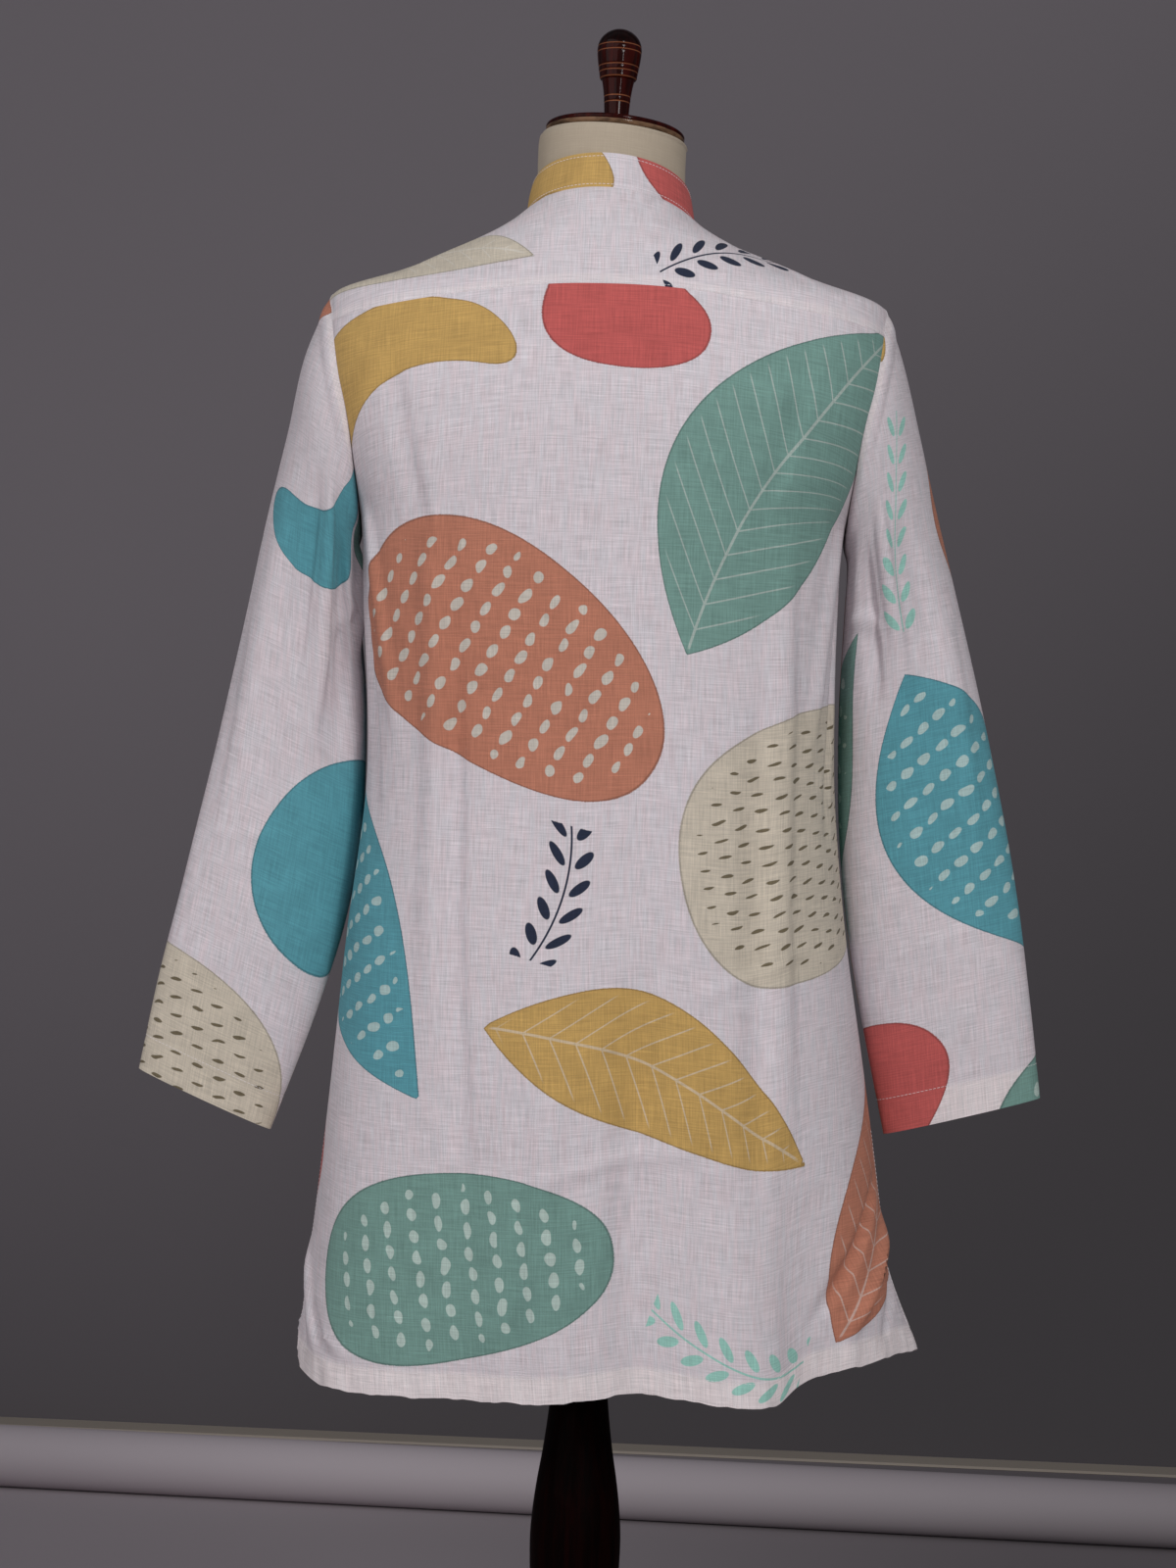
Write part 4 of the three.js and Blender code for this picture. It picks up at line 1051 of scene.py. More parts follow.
def collar():
    """The stand-up band, open at the centre front."""
    columns = ("half", "front", "tilt", "tip", "mid_y")
    half, front, tilt, tip, mid_y = (float(body(NECKLINE, column)) for column in columns)
    end_angle = COLLAR_END_GAP / 2 / front
    sweep = 2 * math.pi - 2 * end_angle
    shares = np.linspace(0, 1, COLLAR_COLUMNS + 1)
    angles = -math.pi / 2 + end_angle + sweep * shares
    from_end = np.minimum(shares, 1 - shares) * sweep * front
    drop = COLLAR_CORNER_DROP * np.clip(1 - from_end / COLLAR_CORNER, 0, 1) ** 2
    up = np.linspace(0, 1, COLLAR_ROWS + 1)[:, None]
    # The band bulges out a little between its edges
    radius = half - COLLAR_LEAN * up + COLLAR_BULGE * np.sin(math.pi * up)
    rise = (COLLAR_HEIGHT + SEAM_GAP - drop) * up
    x = radius * np.cos(angles)
    y = mid_y + radius * np.sin(angles)
    z = NECKLINE + tilt * np.sin(angles) + tip * np.cos(angles) + rise
    points = np.stack([x, y, z], axis=-1)
    across = np.repeat((shares[None, :] - 0.5) * sweep * half, COLLAR_ROWS + 1, 0)
    cloth = Cloth("kurta_collar", points, across, (COLLAR_HEIGHT - drop) * up)
    cloth.thickness[:] = COLLAR_LINEN
    edges = np.minimum(cloth.edge("top"), cloth.edge("bottom"))
    stitch = STITCH_DIP * hump(edges - COLLAR_STITCH, 0.0024)
    wave = COLLAR_WAVE * np.sin(across / 0.019) * np.sin(math.pi * up)
    cloth.raise_by(wave - stitch - round_off(cloth.edge("top")))
    cloth.tuck(0, LAP, COLLAR_TUCK)
    return cloth


PLACKET_COLUMNS = 20
PLACKET_LINEN = 0.0014
PLACKET_BOTTOM = 1.1595
PLACKET_STITCH = 0.0025
PLACKET_TOP_GAP = 0.0012


def placket(front):
    """The half placket, made from the front's own middle and moved out."""
    levels = front.points[:, front.points.shape[1] // 2, 2]
    below_neck = front.edge("top")[:, 0] > PLACKET_TOP_GAP
    rows = np.flatnonzero((levels > PLACKET_BOTTOM) & below_neck)
    across = np.linspace(-PLACKET_WIDTH / 2, PLACKET_WIDTH / 2, PLACKET_COLUMNS + 1)
    normals = front.normals()
    points = np.empty((len(rows), len(across), 3))
    for i, r in enumerate(rows):
        for k in range(3):
            points[i, :, k] = np.interp(across, front.across[r], front.points[r, :, k])
            normal = np.interp(across, front.across[r], normals[r, :, k])
            points[i, :, k] += normal * (SEAM_GAP + PLACKET_LINEN)
    along = front.along[rows, 0]
    grid_across = np.repeat(across[None, :], len(rows), 0)
    cloth = Cloth("kurta_placket", points, grid_across, np.repeat(along[:, None], len(across), 1))
    cloth.thickness[:] = PLACKET_LINEN
    edges = np.minimum(np.minimum(cloth.edge("start"), cloth.edge("end")), cloth.edge("bottom"))
    cloth.raise_by(-STITCH_DIP * hump(edges - PLACKET_STITCH, 0.0022) - round_off(edges))
    return cloth


# Turned wood and moulded pieces, by the modelling operators


def deselect():
    if bpy.context.mode != "OBJECT":
        bpy.ops.object.mode_set(mode="OBJECT")
    bpy.ops.object.select_all(action="DESELECT")


def settle(name):
    """Names the new piece and moves its place, turn and size into its mesh."""
    bpy.ops.object.transform_apply(location=True, rotation=True, scale=True)
    bpy.context.object.name = name
    return bpy.context.object


TURNED_SHARP = math.radians(40)


def smooth_profile(profile, steps):
    """A profile with points between its own, on a smooth curve through them."""
    points = np.array(profile, float)
    ends = np.concatenate([[2 * points[0] - points[1]], points, [2 * points[-1] - points[-2]]])
    curve = [points[0]]
    for i in range(len(points) - 1):
        for step in range(1, steps + 1):
            curve.append(catmull(*ends[i : i + 4], step / steps))
    return np.array(curve)


def turned(name, profile, sides, place=None):
    """A round piece drawn up from its foot, ring after ring, then put in its place.

    profile holds radius and height from the foot to the top. The place on the unturned piece is
    kept as an attribute, so that its grain and rings stay with it.
    """
    deselect()
    (radius, height), rest = profile[0], profile[1:]
    bpy.ops.mesh.primitive_circle_add(
        vertices=sides, radius=radius, fill_type="NGON", location=(0, 0, height), enter_editmode=True
    )
    bpy.ops.mesh.select_all(action="SELECT")
    for next_radius, next_height in rest:
        rise = float(next_height - height)
        bpy.ops.mesh.extrude_region_move(TRANSFORM_OT_translate={"value": (0, 0, rise)})
        scale = float(next_radius / radius)
        bpy.ops.transform.resize(value=(scale, scale, 1), center_override=(0, 0, float(next_height)))
        radius, height = next_radius, next_height
    bpy.ops.mesh.select_all(action="SELECT")
    bpy.ops.mesh.normals_make_consistent(inside=False)
    bpy.ops.object.mode_set(mode="OBJECT")
    piece = settle(name)
    piece.data.name = name
    bpy.ops.object.shade_smooth_by_angle(angle=TURNED_SHARP)
    places = np.empty(len(piece.data.vertices) * 3)
    piece.data.vertices.foreach_get("co", places)
    piece.data.attributes.new("lathe", "FLOAT_VECTOR", "POINT").data.foreach_set("vector", places)
    if place is not None:
        piece.data.transform(place)
    return piece


def seated(foot, facing):
    """The place of an upright piece once its foot is moved and it is tipped to face a way."""
    turn = Vector((0, 0, 1)).rotation_difference(facing).to_matrix().to_4x4()
    return Matrix.Translation(foot) @ turn


def neck_place(rise, tip):
    """Where a piece on the tipped top of the neck stands, a rise above the neck's cloth."""
    top = {key: values[-1] for key, values in FORM_NECK.items()}
    up = Vector((-top["tip"], -top["tilt"], top["radius"])).normalized()
    facing = Vector((-tip, -top["tilt"], top["radius"])).normalized()
    foot = Vector((top["mid_x"], NECK_MIDDLE_Y, top["z"])) + up * rise
    return seated(foot, facing)


CAP_HEIGHT = 0.0092
CAP_PROFILE = (
    (0.0508, 0.0000), (0.0524, 0.0003), (0.0535, 0.0010), (0.0541, 0.0022), (0.0543, 0.0036),
    (0.0541, 0.0043), (0.0540, 0.0046), (0.0543, 0.0050), (0.0543, 0.0062), (0.0538, 0.0071),
    (0.0528, 0.0078), (0.0510, 0.0083), (0.0300, 0.0089), (0.0150, 0.0091), (0.0040, 0.0092),
)
FINIAL_SEAT = 0.0011
FINIAL_TIP = 0.0012
FINIAL_CURVE = (
    (0.0094, 0.0000), (0.0097, 0.0120), (0.0104, 0.0220), (0.0113, 0.0300), (0.0124, 0.0360),
    (0.0128, 0.0376), (0.0144, 0.0386), (0.0147, 0.0407), (0.0159, 0.0480), (0.0169, 0.0550),
    (0.0174, 0.0620), (0.0166, 0.0670), (0.0146, 0.0712), (0.0105, 0.0753), (0.0055, 0.0779),
    (0.0014, 0.0786),
)
FINIAL_RINGS = (0.0642, 0.0596, 0.0480, 0.0437, 0.0387, 0.0242, 0.0195)
RING_CUT = 0.00035
RING_HALF = 0.0006
COLUMN_FOOT = 0.0463
COLUMN_CURVE = (
    (0.0380, 0.0000), (0.0380, 0.0090), (0.0300, 0.0170), (0.0240, 0.0340), (0.0190, 0.0620),
    (0.0250, 0.1040), (0.0270, 0.1500), (0.0235, 0.1960), (0.0175, 0.2260), (0.0240, 0.2380),
    (0.0175, 0.2500), (0.0200, 0.2720), (0.0280, 0.3040), (0.0335, 0.3400), (0.0353, 0.3790),
    (0.0342, 0.4000), (0.0312, 0.4250), (0.0270, 0.4510), (0.0230, 0.4840), (0.0205, 0.5200),
    (0.0190, 0.6000), (0.0200, 0.7414),
)
COLUMN_RINGS = (0.2265, 0.2495, 0.0345, 0.1040)
BASE_CURVE = (
    (0.1760, 0.0000), (0.1792, 0.0012), (0.1800, 0.0040), (0.1800, 0.0150), (0.1786, 0.0185),
    (0.1730, 0.0210), (0.1500, 0.0260), (0.1040, 0.0310), (0.0600, 0.0400), (0.0500, 0.0450),
    (0.0480, 0.0460),
)
BASE_RINGS = (0.0205,)
LATHE_SIDES = 96


def with_rings(curve, rings):
    """Cuts a small groove into a turned curve at each ring's height."""
    heights = curve[:, 1]
    extra = [h + d for h in rings for d in (-RING_HALF, -RING_HALF / 3, RING_HALF / 3, RING_HALF)]
    extra = [h for h in extra if heights[0] < h < heights[-1]]
    all_heights = np.unique(np.concatenate([heights, extra]))
    # Flat steps keep both of their radii, so only rising stretches are read again
    rising = np.flatnonzero(np.diff(heights) > 1e-6)
    keep = np.unique(np.concatenate([rising, rising + 1]))
    radii = np.interp(all_heights, heights[keep], curve[keep, 0])
    for ring in rings:
        radii = radii - RING_CUT * hump(all_heights - ring, RING_HALF)
    return np.stack([radii, all_heights], 1)


def button_place(cloth, number, rise):
    """Where a button's solid has its middle, a rise out of the placket, faced as the placket is."""
    low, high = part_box(f"button_{number}")
    middle = (np.array(low) + np.array(high)) / 2
    centre = cloth.points[:, PLACKET_COLUMNS // 2]
    nearest = int(np.argmin(np.linalg.norm(centre - middle, axis=1)))
    facing = Vector(cloth.normals()[nearest, PLACKET_COLUMNS // 2])
    return seated(Vector(middle) + facing * rise, facing)


BUTTON_CURVE = (
    (0.0050, 0.0000), (0.0055, 0.0004), (0.0057, 0.0012), (0.0055, 0.0020), (0.0050, 0.0024),
    (0.0045, 0.0024), (0.0041, 0.0019), (0.0036, 0.0016), (0.0010, 0.0015),
)
BUTTON_SIDES = 40
BUTTON_HALF_HEIGHT = 0.00125
BUTTON_HOLE = 0.00055
BUTTON_HOLE_SPACING = 0.0011
DRILL_LENGTH = 0.01
BUTTON_THREAD = 0.0003
BUTTON_THREAD_LENGTH = 2.9 * BUTTON_HOLE_SPACING
BUTTON_THREAD_RISE = 0.0004


def button(number, cloth):
    """A plain four-hole button with a raised rim, its holes bored through."""
    piece = turned(f"kurta_button_{number}", BUTTON_CURVE, BUTTON_SIDES)
    for across in (-1, 1):
        for up in (-1, 1):
            deselect()
            bpy.ops.mesh.primitive_cylinder_add(
                vertices=12,
                radius=BUTTON_HOLE,
                depth=DRILL_LENGTH,
                location=(across * BUTTON_HOLE_SPACING, up * BUTTON_HOLE_SPACING, 0),
            )
            drill = bpy.context.object
            deselect()
            bpy.context.view_layer.objects.active = piece
            piece.select_set(True)
            cut = piece.modifiers.new("hole", "BOOLEAN")
            cut.operation = "DIFFERENCE"
            cut.object = drill
            bpy.ops.object.modifier_apply(modifier=cut.name)
            bpy.data.objects.remove(drill, do_unlink=True)
    piece.data.transform(button_place(cloth, number, -BUTTON_HALF_HEIGHT))
    return piece


def button_thread(number, cloth):
    """The crossed sewing thread in a button's four holes."""
    deselect()
    parts = []
    for turn in (math.radians(45), math.radians(-45)):
        bpy.ops.mesh.primitive_cylinder_add(
            vertices=8, radius=BUTTON_THREAD, depth=BUTTON_THREAD_LENGTH, location=(0, 0, 0)
        )
        bar = bpy.context.object
        bar.data.transform(Matrix.Rotation(turn, 4, "Z") @ Matrix.Rotation(math.pi / 2, 4, "X"))
        parts.append(bar)
    for bar in parts:
        bar.select_set(True)
    bpy.context.view_layer.objects.active = parts[0]
    bpy.ops.object.join()
    piece = bpy.context.object
    piece.name = f"kurta_button_thread_{number}"
    piece.data.transform(button_place(cloth, number, BUTTON_THREAD_RISE))
    return piece


# Dress form

FORM_SIDES = 144
FORM_LOW = 0.812
# Each ring of the rounded underside, as its height and how far in it lies
FORM_BOTTOM = ((0.7880, 0.0160), (0.7888, 0.0110), (0.7905, 0.0060), (0.7940, 0.0022), (0.8000, 0.0004))
FORM_ROWS = 81
NECK_ROWS = 30
NECK_TOP_SHARES = (0.35, 0.7, 0.9, 1.0)
# How long the cover is round the body and round the neck, and where one gives way to the other
COVER_GIRTHS = (0.98, 0.37)
COVER_NECK = 1.40


def form_rings():
    """The form's rings from its underside up to the top of its neck."""
    angles = np.linspace(0, 2 * math.pi, FORM_SIDES, endpoint=False)

    def inside(level, extra):
        levels = np.full(FORM_SIDES, level)
        turn, rise = 0.004, 0.0008
        along = body_point("form", angles + turn, levels) - body_point("form", angles - turn, levels)
        up = body_point("form", angles, levels + rise) - body_point("form", angles, levels - rise)
        room = CLOTH_WALL + read(FORM_EASE, "z", level, "room") + extra
        room = room + FORM_SIDE_ROOM * np.sin(angles) ** 2
        return body_point("form", angles, levels) - unit(np.cross(along, up)) * room[:, None]

    rings = []
    for z, inset in FORM_BOTTOM:
        ring = inside(FORM_LOW, inset)
        ring[:, 2] = z
        rings.append(ring)
    for level in np.linspace(FORM_LOW, NECKLINE, FORM_ROWS):
        rings.append(inside(level, 0.0))
    for z in np.linspace(FORM_NECK["z"][0], FORM_NECK["z"][-2], NECK_ROWS):
        rings.append(neck_ring(angles, *(read(FORM_NECK, "z", z, key) for key in FORM_NECK)))
    low, top = list(rows_of(FORM_NECK))[-2:]
    for share in NECK_TOP_SHARES:
        radius = mix(top[1], low[1], math.sqrt(1 - share**2))
        rings.append(neck_ring(angles, mix(low[0], top[0], share), radius, *top[2:]))
    return np.array(rings)


def neck_ring(angles, z, radius, mid_x, tilt, tip):
    """A ring of the neck from a row of its table."""
    across, back = np.cos(angles), np.sin(angles)
    places = (mid_x + radius * across, NECK_MIDDLE_Y + radius * back, z + tilt * back + tip * across)
    return np.stack(places, 1)


def form_torso():
    """The form's smooth padded body and neck, closed below and at the top of the neck."""
    rings = form_rings()
    count = len(rings)
    verts = rings.reshape(-1, 3).tolist()
    faces = []
    for r in range(count - 1):
        for i in range(FORM_SIDES):
            a, b = r * FORM_SIDES + i, r * FORM_SIDES + (i + 1) % FORM_SIDES
            faces.append((a, b, b + FORM_SIDES, a + FORM_SIDES))
    top = (count - 1) * FORM_SIDES
    faces.append(tuple(reversed(range(FORM_SIDES))))
    faces.append(tuple(range(top, top + FORM_SIDES)))
    mesh = bpy.data.meshes.new("form_body")
    mesh.from_pydata(verts, [], faces)
    # The cover's flat place, so that its weave follows the form
    steps = np.linalg.norm(np.diff(rings, axis=0), axis=2).mean(1)
    along = np.concatenate([[0], np.cumsum(steps)])
    uv = mesh.uv_layers.new(name="cloth")
    flat = []
    for polygon in mesh.polygons:
        last = polygon.index % FORM_SIDES == FORM_SIDES - 1 and len(polygon.vertices) == 4
        for vert in polygon.vertices:
            column = vert % FORM_SIDES
            if last and column == 0:
                column = FORM_SIDES
            if len(polygon.vertices) > 4:
                flat.append((verts[vert][0], verts[vert][1]))
            else:
                girth = COVER_GIRTHS[verts[vert][2] >= COVER_NECK]
                flat.append((column / FORM_SIDES * girth, along[vert // FORM_SIDES]))
    uv.data.foreach_set("uv", np.array(flat).ravel())
    mesh.polygons.foreach_set("use_smooth", [len(p.vertices) == 4 for p in mesh.polygons])
    mesh.update()
    return placed(mesh)


# Finishes


class Value:
    """An output of a shader node. Arithmetic on it adds Math nodes."""

    def __init__(self, finish, socket):
        self.finish = finish
        self.socket = socket

    def __add__(self, other):
        return self.finish.maths("ADD", self, other)

    def __sub__(self, other):
        return self.finish.maths("SUBTRACT", self, other)

    def __rsub__(self, other):
        return self.finish.maths("SUBTRACT", other, self)

    def __mul__(self, other):
        return self.finish.maths("MULTIPLY", self, other)

    def __truediv__(self, other):
        return self.finish.maths("DIVIDE", self, other)

    __radd__ = __add__
    __rmul__ = __mul__


class Finish:
    """A material and the making of its nodes."""

    def __init__(self, name):
        self.material = bpy.data.materials.new(name)
        self.material.use_nodes = True
        self.tree = self.material.node_tree
        self.tree.nodes.clear()

    def node(self, kind, settings=(), inputs=(), output=0):
        """Adds a node with its settings and the values or links of its sockets."""
        made = self.tree.nodes.new(kind)
        for key, value in dict(settings).items():
            setattr(made, key, value)
        for key, value in dict(inputs).items():
            if isinstance(value, Value):
                self.tree.links.new(value.socket, made.inputs[key])
            else:
                made.inputs[key].default_value = value
        return Value(self, made.outputs[output])

    def maths(self, operation, *values):
        return self.node("ShaderNodeMath", {"operation": operation}, enumerate(values))

    def split(self, vector):
        parts = self.node("ShaderNodeSeparateXYZ", (), {0: vector})
        return [Value(self, socket) for socket in parts.socket.node.outputs]

    def attribute(self, name, output):
        return self.node("ShaderNodeAttribute", {"attribute_name": name}, (), output)

    def cloth_place(self):
        """The two flat places on the cloth."""
        return self.split(self.node("ShaderNodeUVMap", {"uv_map": "cloth"}))[:2]

    def object_place(self):
        return self.node("ShaderNodeTexCoord", (), (), "Object")

    def scaled(self, vector, factor):
        """A place or a colour, plain or varying, multiplied by a factor."""
        if not isinstance(vector, Value):
            vector = vector[:3]
        return self.node("ShaderNodeVectorMath", {"operation": "SCALE"}, {0: vector, "Scale": factor})

    def place(self, x, y, z=0.0):
        return self.node("ShaderNodeCombineXYZ", (), {0: x, 1: y, 2: z})

    def noise(self, place, detail=2.0, roughness=0.5):
        inputs = {"Vector": place, "Scale": 1.0, "Detail": detail, "Roughness": roughness}
        return self.node("ShaderNodeTexNoise", (), inputs)

    def grain(self, places, scales, detail=2.0, roughness=0.5):
        """Noise with its own scale along each place. A number past the places shifts it."""
        parts = [place * scale for place, scale in zip(places, scales)]
        return self.noise(self.place(*parts, *scales[len(places) :]), detail, roughness)

    def step(self, value, start, end):
        """0 before start and 1 past end."""
        inputs = {"Value": value, "From Min": start, "From Max": end}
        return self.node("ShaderNodeMapRange", {"interpolation_type": "SMOOTHSTEP"}, inputs)

    def blend(self, share, a, b):
        """Colours mixed by a share."""
        return self.node("ShaderNodeMix", {"data_type": "RGBA"}, {0: share, 6: a, 7: b}, 2)

    def bump(self, height, distance, strength):
        inputs = {"Height": height, "Distance": distance, "Strength": strength}
        return self.node("ShaderNodeBump", (), inputs)

    def surface(self, inputs):
        shader = self.node("ShaderNodeBsdfPrincipled", (), inputs)
        output = self.tree.nodes.new("ShaderNodeOutputMaterial")
        self.tree.links.new(shader.socket, output.inputs["Surface"])
        return self.material


def rgba(colour, factor=1.0):
    """A colour with an alpha of 1, made darker or lighter by a plain number."""
    return (*(part * factor for part in colour[:3]), 1.0)


# Weave and print, as lengths in metres and as scales of noise across and along the cloth

THREAD_PITCH = 0.00085
WARP_SCALES = (1020.0, 40.0, 3.0)
WEFT_SCALES = (40.0, 980.0, 9.0)
SLUB_SCALES = (42.0, 760.0, 17.0)
UPRIGHT_SLUB_SCALES = (800.0, 38.0, 23.0)
WARM_SCALES = (260.0, 34.0, 51.0)
TONE_SCALES = (9.0, 9.0, 2.0)
CRUMPLE_SCALES = (130.0, 95.0, 7.0)
WASH_SCALES = (38.0, 38.0, 5.0)
WANDER_SCALES = (55.0, 55.0)
BLEED_SCALES = (900.0, 900.0)
CRUMPLE_DEPTH = 0.0011
WEAVE_DEPTH = 0.00022
BLEED = 0.0009
DOT_PITCH = (0.021, 0.0165)
DOT_HALF = (0.0034, 0.0056)
DASH_PITCH = (0.0175, 0.0135)
DASH_HALF = (0.0052, 0.0013)
VEIN_PITCH = 0.020
LEAFLET_PITCH = 0.021
# A sprig's leaflets lean this far from its stem
LEAFLET_LEAN = math.radians(42)
LEAFLET_HALF = (0.0095, 0.0036)
LEAFLET_MIDDLE = (0.0140, 0.0020)
DOT_INK = (0.62, 0.72, 0.66, 1.0)
DASH_INK = (0.150, 0.120, 0.070, 1.0)
VEIN_INK = (0.72, 0.70, 0.66, 1.0)


# What the linen's colour is multiplied by: warm threads, cool threads, and where it is doubled
LINEN_TINTS = ((1.025, 0.985, 0.99), (0.975, 1.01, 1.02), (1.10, 1.08, 1.00))


def thread_values(f, x, y):
    """How light the warp and weft are, with the gaps between threads darkened, and the height of the
    weave, over a flat place.
    """
    warp = f.grain((x, y), WARP_SCALES)
    weft = f.grain((x, y), WEFT_SCALES)
    slub = f.grain((x, y), SLUB_SCALES, 1.0)
    slub_up = f.grain((x, y), UPRIGHT_SLUB_SCALES, 1.0)
    slubs = f.step(slub, 0.64, 0.76) + f.step(slub_up, 0.66, 0.78) * 0.8
    over = f.maths("SINE", x * (2 * math.pi / THREAD_PITCH))
    under = f.maths("SINE", y * (2 * math.pi / THREAD_PITCH))
    hole = (1.0 - f.maths("ABSOLUTE", over)) * (1.0 - f.maths("ABSOLUTE", under))
    # hole darkens the colour in the gaps between threads: partly the darker layer seen through the open
    # weave, partly painted shade
    light = (warp - 0.5) * 0.56 + (weft - 0.5) * 0.56 + slubs * 0.12 - hole * 0.26
    height = (warp + weft) * 0.5 + slubs * 0.6 + over * under * 0.25 - hole
    return light, height


def repeats(f, along, across, pitch, half, wander):
    """How far a place is from the nearest middle of small ovals in offset rows, 1 at the rim."""
    rows = along / pitch[0] + wander * 0.35
    row = f.maths("FLOOR", rows)
    columns = across / pitch[1] + f.maths("MODULO", row, 2.0) * 0.5 + wander * 0.5
    up = (f.maths("FRACT", rows) - 0.5) * (pitch[0] / half[0])
    side = (f.maths("FRACT", columns) - 0.5) * (pitch[1] / half[1])
    return f.maths("SQRT", up * up + side * side)


def printed_colour(f, ground):
    """The ground with its printed motifs, from the motif kept at each place of the cloth."""
    reach, along, across = f.split(f.attribute("motif", "Vector"))
    ink = f.attribute("ink", "Color")
    style = Value(f, ink.socket.node.outputs["Alpha"])
    flat = f.cloth_place()
    wander = f.grain(flat, WANDER_SCALES, 1.0) - 0.5
    reach = reach + (f.grain(flat, BLEED_SCALES, 1.0) - 0.5) * BLEED
    inside = f.step(reach, 0.0003, -0.0003)
    rim = f.step(reach, -0.0013, -0.0007)
    side = f.maths("ABSOLUTE", across)

    def styled(name):
        return f.maths("COMPARE", style, STYLES[name], 0.1)

    # Dots and dashes shrink towards the motif's edge
    size = f.step(reach, -0.0060, -0.0150) + 0.001
    dots = f.step(repeats(f, along, across, DOT_PITCH, DOT_HALF, wander) / size, 1.08, 0.92)
    dashes = f.step(repeats(f, along, across, DASH_PITCH, DASH_HALF, wander) / size, 1.15, 0.85)
    side_vein = f.maths("FRACT", (along - side * 0.85) / VEIN_PITCH) - 0.5
    side_vein = f.step(f.maths("ABSOLUTE", side_vein), 0.045, 0.025) * f.step(reach, -0.004, -0.010)
    middle_vein = f.step(side, 0.0013, 0.0008) * f.step(reach, -0.002, -0.006)
    veins = f.maths("MAXIMUM", side_vein, middle_vein)
    rise = f.maths("FRACT", along / LEAFLET_PITCH) * LEAFLET_PITCH
    lean, slope = math.cos(LEAFLET_LEAN), math.sin(LEAFLET_LEAN)
    lengthways = (rise * lean + side * slope - LEAFLET_MIDDLE[0]) / LEAFLET_HALF[0]
    sideways = (side * lean - rise * slope - LEAFLET_MIDDLE[1]) / LEAFLET_HALF[1]
    leaflet = f.step(lengthways * lengthways + sideways * sideways, 1.15, 0.9)
    stem = f.step(side, 0.0010, 0.0006)
    sprig = f.maths("MAXIMUM", leaflet, stem)
    cover = inside * f.maths("MAXIMUM", 1.0 - styled("sprig"), sprig)
    inked = f.blend(dots * styled("dots"), ink, f.blend(0.62, ink, DOT_INK))
    inked = f.blend(dashes * styled("dashes"), inked, DASH_INK)
    inked = f.blend(veins * styled("veins") * 0.75, inked, f.blend(0.5, ink, VEIN_INK))
    wash = f.grain(flat, WASH_SCALES, 3.0) - 0.5
    outline = rim * (1.0 - styled("sprig"))
    inked = f.scaled(inked, 1.0 + wash * 0.26 - outline * 0.38)
    return f.blend(cover * 0.985, ground, inked)


def linen(name, colour, patterned=True, coarse=1.0):
    """Open plain-weave linen, printed or plain, woven on the cloth's own flat places."""
    f = Finish(name)
    flat = f.cloth_place()
    light, height = thread_values(f, *flat)
    tone = f.grain(flat, TONE_SCALES, 3.0) - 0.5
    if patterned:
        doubled = f.attribute("doubled", "Fac")
        warm, cool, under = (rgba([c * k for c, k in zip(colour, tint)]) for tint in LINEN_TINTS)
        base = f.blend(f.step(f.grain(flat, WARM_SCALES, 3.0), 0.30, 0.70), warm, cool)
        base = f.blend(doubled * 0.5, base, under)
        base = printed_colour(f, f.scaled(base, 0.96 + doubled * 0.10 + tone * 0.03))
    else:
        base = f.scaled(colour, 1.0 + tone * 0.08)
    rough = f.bump(f.grain(flat, CRUMPLE_SCALES, 4.0, 0.6), CRUMPLE_DEPTH * coarse, 0.5)
    weave = f.bump(height, WEAVE_DEPTH * coarse, 0.8)
    f.tree.links.new(rough.socket, weave.socket.node.inputs["Normal"])
    return f.surface(
        {
            "Base Color": f.scaled(base, 1.0 + light * coarse),
            "Roughness": 0.80 + (height - 0.5) * 0.10,
            "Normal": weave,
            "Sheen Weight": 0.05,
            "Sheen Roughness": 0.5,
            "Specular IOR Level": 0.18,
        }
    )


WOOD_GRAIN_SCALES = (190.0, 190.0, 14.0)
WOOD_CLOUD_SCALES = (60.0, 60.0, 24.0)
WOOD_WEAR_SCALES = (420.0, 420.0, 60.0)
BAND_PATCH_SCALES = (62.0, 62.0, 210.0)
WOOD_DEEP = 0.30
WOOD_GRAIN_DEPTH = 0.0002
# The worn edge of the neck cap, and how high it reaches
BAND_COLOUR = (0.185, 0.105, 0.060)
CAP_BAND_TOP = 0.0040
# Painted shade: the finial's head is darkened from this height up, as shade on its top
FINIAL_PAINTED_SHADE_FROM = 0.0650
GLOSS = {"finial": 0.60, "neck_cap": 0.60}
DULL_GLOSS = 0.02
DULL_SHADE = 0.12


